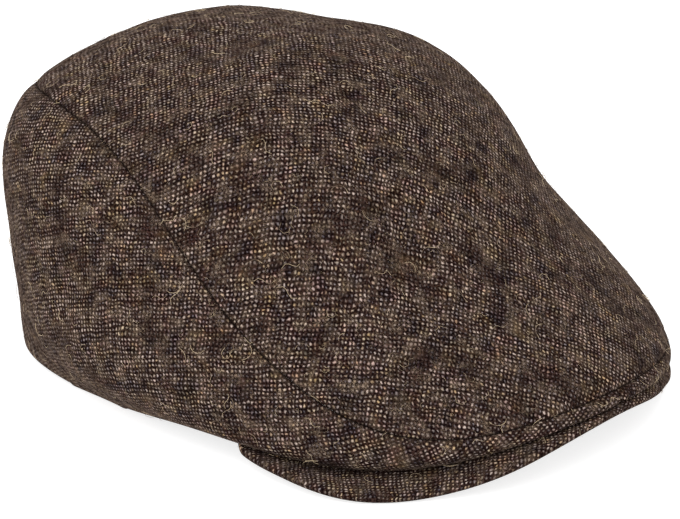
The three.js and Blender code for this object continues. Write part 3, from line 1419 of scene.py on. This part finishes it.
    @staticmethod
    def rotated(sheet: NodeSheet, start: Socket, axis: tuple[float, float, float], angle: Socket) -> Socket:
        """A rotation turned further about its own axis.

        Args:
            sheet: The tree to add it to.
            start: The rotation.
            axis: The axis, in the rotation's own directions.
            angle: The angle in radians.

        Returns:
            The new rotation.
        """
        about = sheet.add("FunctionNodeAxisAngleToRotation")
        sheet.feed(about.inputs["Axis"], axis)
        sheet.feed(about.inputs["Angle"], angle)
        turn = sheet.add("FunctionNodeRotateRotation", rotation_space="LOCAL")
        sheet.feed(turn.inputs[0], start)
        sheet.feed(turn.inputs[1], about.outputs[0])
        return turn.outputs[0]

    def grow(self, skin: bpy.types.Object, name: str, material: bpy.types.Material) -> bpy.types.Object:
        """Grows hairs on an open skin, which is then taken away.

        Args:
            skin: The face to grow on.
            name: The name of the new piece.
            material: Its finish.

        Returns:
            The hairs, as one plain mesh.
        """
        tree = self.tree()
        inputs = (item for item in tree.interface.items_tree if item.in_out == "INPUT")
        sockets = {item.name: item.identifier for item in inputs}
        modifier = skin.modifiers.new("fibres", "NODES")
        modifier.node_group = tree
        for label, value in (
            ("Density", self.density), ("Length", self.length), ("Thickness", self.thickness),
            ("Clearance", self.clearance), ("Seed", self.seed), ("Material", material),
        ):
            modifier[sockets[label]] = value
        graph = bpy.context.evaluated_depsgraph_get()
        data = bpy.data.meshes.new_from_object(skin.evaluated_get(graph))
        skin.modifiers.remove(modifier)
        spent = skin.data
        bpy.data.objects.remove(skin)
        bpy.data.meshes.remove(spent)
        data.name = name
        return linked(name, data)


@dataclass
class ClothPiece:
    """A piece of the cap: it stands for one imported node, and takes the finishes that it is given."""

    node: str
    slot: str
    outer: bpy.types.Material
    inner: bpy.types.Material
    hairs: bpy.types.Material
    fibres: StrayFibres

    def loops(self) -> Loops:
        """The piece's cross-sections, which each kind of piece works out for itself."""
        raise NotImplementedError

    def build(self) -> list[bpy.types.Object]:
        """Makes the cloth and its stray fibres, and ties both to the frame.

        Returns:
            The new objects.
        """
        loops = self.loops()
        cloth = loops.mesh(f"{self.node}_cloth")
        cloth.data.materials.append(self.outer)
        cloth.data.materials.append(self.inner)
        hairs = self.fibres.grow(loops.skin(f"{self.node}_skin"), f"{self.node}_fibres", self.hairs)
        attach(cloth, "root")
        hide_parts(self.node)
        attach(hairs, "root")
        return [cloth, hairs]


@dataclass
class TopPanel(ClothPiece):
    """The large panel over the top and the front, cut on the bias.

    Attributes:
        crown: The crown that it is part of.
        sections: How many sections go round it.
        rows: How many points climb its outer face past those at the seam.
        inner_rows: How many points lie inside.
        seam_rows: Distances from the seam of the points that round it.
        summit: The level reach within which the weave is laid straight.
        grain: Degrees that the weave is turned from the line to the front.
        flat_grid: Columns and rows of the coarse grid that is laid flat.
    """

    crown: CrownForm
    sections: int = 400
    rows: int = 84
    inner_rows: int = 26
    seam_rows: tuple[float, ...] = (0, 0.1, 0.3, 0.55, 0.85, 1.2, 1.7, 2.4, 3.4, 4.8)
    summit: float = 36
    grain: float = 45
    flat_grid: tuple[int, int] = (72, 28)

    def layout(self, turn: Array) -> tuple[Array, Array]:
        """Where the panel starts along each section, and the section's length.

        Args:
            turn: The sections' turns.

        Returns:
            The starts as shares, and the lengths in millimetres.
        """
        length = self.crown.length(turn)
        return self.crown.seam(turn) + self.crown.gap / 2 / length, length

    def flat(self, turn: Array, share: Array) -> Array:
        """Flat places of the weave.

        Args:
            turn: The sections' turns.
            share: Shares of the panel from its seam to the top, as sections by points.

        Returns:
            Flat places in millimetres.
        """
        coarse, rows = self.flat_grid
        turns = -180 + 360 / coarse * np.arange(coarse)
        start, length = self.layout(turns)
        steps = np.linspace(0, 1, rows)
        along = start[:, None] + (1 - start[:, None]) * steps
        points = self.crown.smooth(turns[:, None], along)
        chord = np.linalg.norm(np.diff(points, axis=1), axis=-1)
        left = np.concatenate([np.cumsum(chord[:, ::-1], 1)[:, ::-1], np.zeros((coarse, 1))], 1)
        angle = np.radians(turns)[:, None]
        guess = np.stack([-left * np.sin(angle), -left * np.cos(angle)], -1)
        cut = FlatCut()
        flat = self.steadied(points, cut.relax(points, guess, ring=True, pole=True))
        front = flat[coarse // 2, 0]
        flat = spun(flat, -90 - math.degrees(math.atan2(front[1], front[0])))
        column = (turn + 180) / (360 / coarse)
        where = np.broadcast_to(column[:, None], share.shape)
        return spun(cut.read(flat, where, share * (rows - 1), ring=True), self.grain)

    def steadied(self, points: Array, flat: Array) -> Array:
        """The flat places, laid straight about the top, where the panel is all but level.

        Args:
            points: The grid in space.
            flat: Its flat places.

        Returns:
            The flat places, with the top at the origin.
        """
        level = points[..., :2] - points[0, -1, :2]
        far = np.linalg.norm(level, axis=-1)
        near = (far > self.summit / 3) & (far < self.summit)
        flat = flat - flat[near].mean(0) + level[near].mean(0)
        turned = (flat[near][:, 0] * level[near][:, 1] - flat[near][:, 1] * level[near][:, 0]).sum()
        angle = math.atan2(turned, (flat[near] * level[near]).sum())
        held = spun(level, -math.degrees(angle))
        flat = flat - flat[near].mean(0) + held[near].mean(0)
        weight = ease((self.summit - far) / (self.summit / 2))[..., None]
        return flat * (1 - weight) + held * weight

    def loops(self) -> Loops:
        """Works out the panel's sections.

        Returns:
            Its closed sections, from the seam over the top and back inside.
        """
        crown = self.crown
        turn = -180 + 360 / self.sections * np.arange(self.sections)
        start, length = self.layout(turn)
        near = np.array(self.seam_rows)
        edge = near[None, :] / length[:, None]
        steps = np.linspace(0, 1, self.rows + 1)[1:]
        along = np.concatenate([edge, edge[:, -1:] + (1 - start[:, None] - edge[:, -1:]) * steps], 1)
        lip = (crown.gap - crown.closed) / 2
        begin = start - lip / length
        within = (1 - begin[:, None]) * np.linspace(1, 0, self.inner_rows)
        distance = along * length[:, None]
        sunk, calm = crown.seam_sink(distance), crown.calm(distance)
        outer = crown.wall(turn[:, None], start[:, None] + along, sunk, calm)
        inner_calm = crown.calm(within * length[:, None])
        inner = crown.wall(turn[:, None], begin[:, None] + within, crown.cloth, inner_calm)
        outer[:, -1] = outer[:, -1].mean(0)
        inner[:, 0] = inner[:, 0].mean(0)
        share = np.concatenate([along, within], 1) / (1 - start[:, None])
        flat = self.flat(turn, share)
        # Painted shade along the panel's seam.
        painted_seam_shade = crown.painted_seam_shade(share * (1 - start[:, None]) * length[:, None])
        points = np.concatenate([outer, inner], 1)
        return Loops(points, flat, along.shape[1], painted_seam_shade, ring=True, pole=True)


@dataclass
class SidePanel(ClothPiece):
    """A panel round one side, from the middle of the front to the middle of the back.

    Attributes:
        crown: The crown that it is part of.
        peak: The peak that its rim sits on in front.
        side: The side that it covers.
        sections: How many sections are evenly spaced.
        rows: How many points climb its outer face between rim and seam.
        inner_rows: How many points come back down inside, to just above the rim.
        rim_rows: Distances from the rim of the points that round it.
        seam_rows: The same for the seam.
        hem: The cloth's thickness where the hem is turned up.
        hem_height: How far up the hem reaches.
        hem_radius: The radius of the rim's rounded edge.
        level: A rim lower than this is laid on the surface.
        end_fade: Degrees past the peak's end over which the rim comes down off it.
        grain: Degrees that the rows of yarn climb towards the front.
        grain_turn: The turn at which they do.
        flat_grid: Columns and rows of the coarse grid that is laid flat.
        rim_calm: The distance from the rim at which ripples begin.
        rim_calm_span: The distance over which they grow.
        rim_blend: The distance over which the rim's own form fades out.
        hem_step: The distance over which the hem's thickness ends.
    """

    crown: CrownForm
    peak: PeakForm
    side: Side
    sections: int = 230
    rows: int = 50
    inner_rows: int = 22
    rim_rows: tuple[float, ...] = (0, 0.15, 0.4, 0.75, 1.2, 1.8, 2.6, 3.8)
    seam_rows: tuple[float, ...] = (4.8, 3.4, 2.4, 1.7, 1.2, 0.85, 0.55, 0.3, 0.1, 0)
    hem: float = 3.0
    hem_height: float = 12
    hem_radius: float = 1.1
    level: float = 0.5
    end_fade: float = 5
    grain: float = 11
    grain_turn: float = 75
    flat_grid: tuple[int, int] = (61, 12)
    rim_calm: float = 4
    rim_calm_span: float = 12
    rim_blend: float = 6
    hem_step: float = 1.5

    def turns(self) -> Array:
        """The sections' turns, close together where they run down into the seams."""
        rim = self.crown.rim(np.array([0.0, 180.0]))[:, 0]
        near = np.array(self.seam_rows)[::-1] + self.crown.closed / 2
        front, back = (np.degrees(near / reach) for reach in rim)
        even = np.linspace(front[-1], 180 - back[-1], self.sections)[1:-1]
        turn = np.concatenate([front, even, 180 - back[::-1]])
        return turn if self.side is Side.RIGHT else -turn[::-1]

    def flat(self, turn: Array, share: Array) -> Array:
        """Flat places of the weave.

        Args:
            turn: The sections' turns.
            share: Shares of the panel from its rim to its seam, as sections by points.

        Returns:
            Flat places in millimetres.
        """
        coarse, rows = self.flat_grid
        turns = np.linspace(turn[0], turn[-1], coarse)
        end = self.crown.seam(turns) - self.crown.gap / 2 / self.crown.length(turns)
        points = self.crown.smooth(turns[:, None], end[:, None] * np.linspace(0, 1, rows))
        middle = points[:, rows // 2]
        run = np.concatenate([[0], np.cumsum(np.linalg.norm(np.diff(middle, axis=0), axis=-1))])
        climbs = np.cumsum(np.linalg.norm(np.diff(points, axis=1), axis=-1), 1)
        up = np.concatenate([np.zeros((coarse, 1)), climbs], 1)
        centre = up[:, rows // 2 : rows // 2 + 1]
        guess = np.stack([np.broadcast_to(-run[:, None], up.shape), up - centre], -1)
        cut = FlatCut()
        flat = cut.relax(points, guess, ring=False)
        middle_at = int(np.argmin(np.abs(np.abs(turns) - self.grain_turn)))
        level = self.level_heading(turns, end, flat, middle_at, rows)
        front = -1 if self.side is Side.RIGHT else 1
        # The rows of yarn climb towards the front by the grain's angle.
        flat = spun(flat, -math.degrees(math.atan2(level[1], level[0])) + self.grain * front)
        column = (turn - turn[0]) / (turn[-1] - turn[0]) * (coarse - 1)
        where = np.broadcast_to(column[:, None], share.shape)
        return cut.read(flat, where, share * (rows - 1), ring=False)

    def level_heading(self, turns: Array, end: Array, flat: Array, at: int, rows: int) -> Array:
        """The flat heading of a level line on the panel.

        Args:
            turns: The coarse sections' turns.
            end: The panel's end along each.
            flat: The flat grid.
            at: The section to read at.
            rows: How many rows the grid has.

        Returns:
            A flat vector along the level line, on the side where the turns fall for the right panel.
        """
        row = rows // 2
        share = end[:, None] * np.linspace(0, 1, rows)
        points = self.crown.smooth(turns[:, None], share)
        along = points[at - 1, row] - points[at + 1, row]
        upward = points[at, row + 1] - points[at, row - 1]
        ahead = flat[at - 1, row] - flat[at + 1, row]
        climb = flat[at, row + 1] - flat[at, row - 1]
        return ahead - climb * along[2] / upward[2]

    def loops(self) -> Loops:
        """Works out the panel's sections.

        Returns:
            Its closed sections, from the rim up to the seam and back down inside.
        """
        crown, turn = self.crown, self.turns()
        length = crown.length(turn)
        end = (crown.seam(turn) - crown.gap / 2 / length)[:, None]
        size = end * length[:, None]
        low, high = np.array(self.rim_rows), np.array(self.seam_rows)
        middle = low[-1] + (size - high[0] - low[-1]) * np.linspace(0, 1, self.rows + 2)[1:-1]
        columns = np.ones((len(turn), 1))
        distance = np.concatenate([low * columns, middle, size - high], 1)
        outer = self.outer_face(turn, distance, size, length)
        lip = (crown.gap - crown.closed) / 2
        inside = np.linspace(1, 0, self.inner_rows) * (size + lip)
        inside = np.concatenate([inside[:, :-1], low[::-1][2:] * columns], 1)
        inside = -np.sort(-inside, axis=1)
        inner = self.inner_face(turn, inside, size, length)
        points = np.concatenate([outer, inner], 1)
        points[..., 2] = np.maximum(points[..., 2], 0)
        run = np.concatenate([distance, inside], 1)
        share = arced(run, self.hem_radius) / size
        # Painted shade along the seam at the top and down the middle of the front and the back.
        painted_seam_shade = crown.painted_seam_shade(np.minimum(size - run, np.abs(points[..., 0])))
        return Loops(points, self.flat(turn, share), distance.shape[1], painted_seam_shade)

    def corners(self, turn: Array) -> tuple[Array, Array, Array]:
        """The rim's outer and inner corner at each turn, and how far the rim is pressed down.

        Args:
            turn: The sections' turns.

        Returns:
            The outer corners, the inner corners and the drops in millimetres.
        """
        rim = self.crown.rim(turn)
        rise = np.where(rim[:, 1] < self.level, 0, rim[:, 1])
        reach = rim[:, 0] - self.hem
        on_peak = ease((self.peak.end - self.peak.away(turn)) / self.end_fade + 1)
        seat = (self.peak.rise(turn, reach) + self.peak.gap) * on_peak
        outer = self.crown.place(turn, np.stack([rim[:, 0], rise], -1))
        inner = self.crown.place(turn, np.stack([reach, np.maximum(rise, seat)], -1))
        return outer, inner, rim[:, 1] - rise

    def calm(self, distance: Array, size: Array) -> Array:
        """How much of the ripples shows, from 0 to 1: none at the rim or at the seam.

        Args:
            distance: Millimetres up from the rim, as sections by points.
            size: Each section's height along the cloth.

        Returns:
            Shares, in the shape of distance.
        """
        from_rim = ease((distance - self.rim_calm) / self.rim_calm_span)
        return from_rim * self.crown.calm(size - distance)

    def outer_face(self, turn: Array, distance: Array, size: Array, length: Array) -> Array:
        """The outer face, rounded in at the hem and into the seam.

        Args:
            turn: The sections' turns.
            distance: Millimetres up from the rim, as sections by points.
            size: Each section's height along the cloth.
            length: Each crown section's whole length.

        Returns:
            Points in millimetres.
        """
        crown = self.crown
        along = distance / length[:, None]
        to_middle = np.abs(crown.smooth(turn[:, None], along)[..., 0])
        sunk = crown.seam_sink(np.minimum(size - distance, to_middle))
        points = crown.wall(turn[:, None], along, sunk, self.calm(distance, size))
        outer, inner, drop = self.corners(turn)
        points[..., 2] -= drop[:, None] * (1 - ease(distance / self.rim_blend))
        across = unit(inner - outer)[:, None]
        return points + across * rolled(distance, self.hem_radius)[..., None]

    def inner_face(self, turn: Array, distance: Array, size: Array, length: Array) -> Array:
        """The inner face, thicker where the hem is turned up.

        Args:
            turn: The sections' turns.
            distance: Millimetres up from the rim, as sections by points.
            size: Each section's height along the cloth.
            length: Each crown section's whole length.

        Returns:
            Points in millimetres.
        """
        crown = self.crown
        turned_up = ease((self.hem_height + self.hem_step / 2 - distance) / self.hem_step)
        thick = crown.cloth + (self.hem - crown.cloth) * turned_up
        along = distance / length[:, None]
        points = crown.wall(turn[:, None], along, thick, self.calm(distance, size))
        first = crown.wall(turn[:, None], np.zeros((len(turn), 1)), self.hem, 0)
        outer, inner, _ = self.corners(turn)
        points = points + (inner[:, None] - first) * (1 - ease(distance / self.rim_blend))[..., None]
        across = unit(inner - outer)[:, None]
        return points - across * rolled(distance, self.hem_radius)[..., None]


@dataclass
class Peak(ClothPiece):
    """The stiff peak, covered in the same tweed on the bias.

    Attributes:
        form: The board that it covers.
        sections: How many sections go from end to end.
        rows: How many points cross the top between its rounded edges.
        under_rows: The same underneath.
        edge_rows: Distances from an edge of the points that round it.
        edge_radius: The radius of the rounded edges.
        grain: Degrees that the weave is turned.
        flat_grid: Columns and rows of the coarse grid that is laid flat.
        slope_step: Millimetres each way over which the slope is read.
    """

    form: PeakForm
    sections: int = 240
    rows: int = 44
    under_rows: int = 20
    edge_rows: tuple[float, ...] = (0, 0.08, 0.25, 0.5, 0.85, 1.3, 1.8, 2.5)
    edge_radius: float = 1.5
    grain: float = -41
    flat_grid: tuple[int, int] = (41, 12)
    slope_step: float = 1

    def loops(self) -> Loops:
        """Works out the peak's sections.

        Returns:
            Its closed sections, over the top from the outer edge and back underneath.
        """
        form = self.form
        even = np.linspace(-1, 1, self.sections)
        turn = form.middle + form.end * (even + np.sin(even * np.pi / 2)) / 2
        outer, inner = form.rounded(turn)[:, None], form.spans(turn)[1][:, None]
        near = np.array(self.edge_rows)
        span = outer - inner - 2 * near[-1]
        over = near[-1] + span * np.linspace(0, 1, self.rows + 2)[1:-1]
        under = near[-1] + span * np.linspace(1, 0, self.under_rows + 2)[1:-1]
        over = np.concatenate([outer - near, outer - over, inner + near[::-1]], 1)
        under = np.concatenate([inner + near, outer - under, outer - near[::-1]], 1)
        flat = np.concatenate([self.flat(turn, over), self.flat(turn, under)], 1)
        points = np.concatenate([self.face(turn, over, 0), self.face(turn, under, form.board)], 1)
        points[..., 2] = np.maximum(points[..., 2], 0)
        return Loops(points, flat, over.shape[1])

    def face(self, turn: Array, reach: Array, depth: float) -> Array:
        """One face of the board, with its edges rounded off.

        Args:
            turn: The sections' turns.
            reach: Distances from the crown's axis, as sections by points.
            depth: 0 for the top face, or the board's thickness for the underside.

        Returns:
            Points in millimetres.
        """
        form, step = self.form, self.slope_step
        turns = np.broadcast_to(turn[:, None], reach.shape)
        rise = form.rise(turns, reach)
        slope = form.rise(turns, reach + step) - form.rise(turns, reach - step)
        to_end = np.radians(form.end - form.away(turns)) * reach
        to_outer, to_inner = form.rounded(turn)[:, None] - reach, reach - form.spans(turn)[1][:, None]
        sunk = rolled(np.minimum(np.minimum(to_outer, to_inner), to_end), self.edge_radius)
        sunk = sunk if depth == 0 else depth - sunk
        across = sunk / np.hypot(slope, 2 * step)
        section = np.stack([reach + slope * across, rise - 2 * step * across], -1)
        return form.crown.place(turns, section)

    def flat(self, turn: Array, reach: Array) -> Array:
        """Flat places of the weave.

        Args:
            turn: The sections' turns.
            reach: Distances from the crown's axis, as sections by points.

        Returns:
            Flat places in millimetres.
        """
        coarse, rows = self.flat_grid
        form = self.form
        turns = form.middle + np.linspace(-form.end, form.end, coarse)
        outer, inner = form.spans(turns)
        reaches = outer[:, None] - (outer - inner)[:, None] * np.linspace(0, 1, rows)
        wide_turns = np.broadcast_to(turns[:, None], reaches.shape)
        section = np.stack([reaches, form.rise(wide_turns, reaches)], -1)
        points = form.crown.place(wide_turns, section)
        cut = FlatCut()
        flat = spun(cut.relax(points, points[..., :2].copy(), ring=False), self.grain)
        column = (turn - turns[0]) / (2 * form.end) * (coarse - 1)
        outer, inner = form.spans(turn)
        rounded = form.rounded(turn)[:, None]
        reach = rounded - arced(rounded - reach, self.edge_radius)
        row = (outer[:, None] - reach) / (outer - inner)[:, None] * (rows - 1)
        return cut.read(flat, np.broadcast_to(column[:, None], row.shape), row, ring=False)


@dataclass(frozen=True)
class Lamp:
    """A soft square lamp that looks at the cap."""

    name: str
    azimuth: float
    elevation: float
    distance: float
    size: float
    power: float

    def hang(self, target: Vector) -> None:
        """Hangs the lamp.

        Args:
            target: The point it looks at.
        """
        data = bpy.data.lights.new(self.name, "AREA")
        data.size = self.size
        data.energy = self.power
        lamp = linked(self.name, data)
        lamp.location = target + heading(self.azimuth, self.elevation) * self.distance
        lamp.rotation_euler = (target - lamp.location).to_track_quat("-Z", "Y").to_euler()


def heading(azimuth: float, elevation: float) -> Vector:
    """The direction from the cap to something at an azimuth and an elevation in degrees."""
    turn, rise = math.radians(azimuth), math.radians(elevation)
    return Vector((math.sin(turn) * math.cos(rise), -math.cos(turn) * math.cos(rise), math.sin(rise)))


@dataclass(frozen=True)
class Studio:
    """A plain white floor, a pale world, soft lamps and the camera.

    Attributes:
        lamps: The lamps.
        target: The point that lamps and camera look at.
        azimuth: The camera's heading in degrees, 0 in front and growing to the cap's left.
        elevation: The camera's height in degrees.
        distance: Metres from the camera to the target.
        lens: The focal length.
        sensor: The sensor's width.
        floor_size: The floor's side.
        floor_drop: How far it lies under the cap.
        world: The strength of the world's light.
        floor_white: The floor's grey.
        floor_glow: How much light it gives off.
        floor_roughness: How dull it is.
        floor_specular: How much it shines.
        clip_start: The nearest thing that the camera sees.
    """

    lamps: tuple[Lamp, ...]
    target: tuple[float, float, float] = (0.01046, 0.00704, 0.03387)
    azimuth: float = -48.77
    elevation: float = 21.76
    distance: float = 1.24816
    lens: float = 178.47
    sensor: float = 36
    floor_size: float = 12
    floor_drop: float = 0.0003
    world: float = 1.05
    floor_white: float = 0.5
    floor_glow: float = 0.75
    floor_roughness: float = 0.9
    floor_specular: float = 0.1
    clip_start: float = 0.01

    def build(self) -> None:
        """Lights the world, lays the floor, hangs the lamps and sets up the camera."""
        bpy.context.scene.view_settings.view_transform = "Standard"
        self.light_world()
        self.lay_floor()
        target = Vector(self.target)
        for lamp in self.lamps:
            lamp.hang(target)
        self.set_camera(target)

    def light_world(self) -> None:
        """Gives the scene its pale, even light."""
        world = bpy.data.worlds.new("studio")
        world.use_nodes = True
        backdrop = world.node_tree.nodes["Background"]
        backdrop.inputs[0].default_value = (1, 1, 1, 1)
        backdrop.inputs[1].default_value = self.world
        bpy.context.scene.world = world

    def lay_floor(self) -> None:
        """Lays the white floor just under the cap."""
        half = self.floor_size / 2
        data = bpy.data.meshes.new("floor")
        corners = [(-half, -half), (half, -half), (half, half), (-half, half)]
        data.from_pydata([(x, y, -self.floor_drop) for x, y in corners], [], [(0, 1, 2, 3)])
        paint = bpy.data.materials.new("white floor")
        paint.use_nodes = True
        shader = paint.node_tree.nodes["Principled BSDF"]
        shader.inputs["Base Color"].default_value = (self.floor_white,) * 3 + (1,)
        shader.inputs["Emission Color"].default_value = (1, 1, 1, 1)
        shader.inputs["Emission Strength"].default_value = self.floor_glow
        shader.inputs["Roughness"].default_value = self.floor_roughness
        shader.inputs["Specular IOR Level"].default_value = self.floor_specular
        data.materials.append(paint)
        linked("floor", data)

    def set_camera(self, target: Vector) -> None:
        """Sets up the camera.

        Args:
            target: The point it looks at.
        """
        view = bpy.data.cameras.new("camera")
        view.sensor_fit = "HORIZONTAL"
        view.sensor_width = self.sensor
        view.lens = self.lens
        view.clip_start = self.clip_start
        camera = linked("camera", view)
        camera.location = target + heading(self.azimuth, self.elevation) * self.distance
        camera.rotation_euler = (target - camera.location).to_track_quat("-Z", "Y").to_euler()
        bpy.context.scene.camera = camera


# Where the numbers come from, as in the part's source: least-squares fits of the form, done outside this
# file, gave the points of the crown's rows, its axis and top, the peak's outer edges, its end and its
# turn, and the camera and the weave's pitch. All but the camera were then rounded, and some were changed.
# The seam's shares and the folds' middles were worked out from given places. The rest was set one by one.
CROWN = CrownForm(
    rows=(
        CrownRow(
            rim=(145, 20), foot=(150, 20), flank=(130, 40),
            shoulder=(93, 65), brow=(72, 94), seam=0.11,
        ),
        CrownRow(
            rim=(128, 7.2), foot=(141, 12), flank=(122, 38),
            shoulder=(89, 63), brow=(74, 96), seam=0.13,
        ),
        CrownRow(
            rim=(107, 8.6), foot=(115, 10.6), flank=(109, 37),
            shoulder=(84, 65), brow=(71, 103), seam=0.33,
        ),
        CrownRow(
            rim=(87, 2), foot=(106, 16), flank=(100, 40),
            shoulder=(87, 75), brow=(64, 107), seam=0.55,
        ),
        CrownRow(
            rim=(95, 1), foot=(107, 22), flank=(103, 44),
            shoulder=(102, 89), brow=(61, 106), seam=0.62,
        ),
        CrownRow(
            rim=(106, 0), foot=(108, 24), flank=(113, 49),
            shoulder=(117, 96), brow=(58, 116), seam=0.54,
        ),
        CrownRow(
            rim=(103, 0), foot=(109, 25), flank=(118, 52),
            shoulder=(118, 92), brow=(57, 122), seam=0.48,
        ),
    ),
    folds=(
        Fold(turn=25, along=0.56, width=8, length=24, lean=12, depth=3),
        Fold(turn=46, along=0.38, width=11, length=13, lean=0, depth=3),
        Fold(turn=39, along=0.5, width=7, length=18, lean=-42, depth=-1.6),
        Fold(turn=106, along=0.2, width=6, length=18, lean=-10, depth=1.5),
    ),
    ripples=(
        Ripples(spread=46, height=0.28, waves=9, seed=3),
        Ripples(spread=15, height=0.07, waves=12, seed=8),
    ),
)

PEAK = PeakForm(
    rows=(
        PeakRow(edge=(147, 18.5), inner=(96, 28)),
        PeakRow(edge=(146, 11), inner=(97, 26)),
        PeakRow(edge=(139, 3.2), inner=(97, 20)),
        PeakRow(edge=(130, 5.5), inner=(97, 15)),
        PeakRow(edge=(113, 8), inner=(95, 11)),
    ),
    crown=CROWN,
)

STUDIO = Studio(
    lamps=(
        Lamp("key", azimuth=-80, elevation=52, distance=1.6, size=1.8, power=19),
        Lamp("fill", azimuth=-30, elevation=35, distance=1.9, size=1.6, power=5),
    )
)


def main() -> None:
    """Builds the cap's pieces and the studio."""
    logging.basicConfig(level=logging.INFO, format="%(name)s: %(message)s")
    outer = TweedFinish("brown tweed").material()
    inner = TweedFinish("brown tweed, wrong side", dots=0.55, blotches=0.4, fuzz=0.3).material()
    hairs = FibreFinish().material()
    common: dict[str, bpy.types.Material] = {"outer": outer, "inner": inner, "hairs": hairs}
    pieces: list[ClothPiece] = [
        TopPanel("top_panel", "crown_cloth", fibres=StrayFibres(seed=5), crown=CROWN, **common),
        SidePanel(
            "side_panel_right", "side_cloth", fibres=StrayFibres(seed=6), crown=CROWN, peak=PEAK,
            side=Side.RIGHT, **common,
        ),
        SidePanel(
            "side_panel_left", "side_cloth", fibres=StrayFibres(seed=7), crown=CROWN, peak=PEAK,
            side=Side.LEFT, **common,
        ),
        Peak("peak", "peak_cloth", fibres=StrayFibres(seed=8), form=PEAK, **common),
    ]
    for piece in pieces:
        for made in piece.build():
            LOG.info("%s: %d faces", made.name, len(made.data.polygons))
    STUDIO.build()


if __name__ == "__main__":
    main()
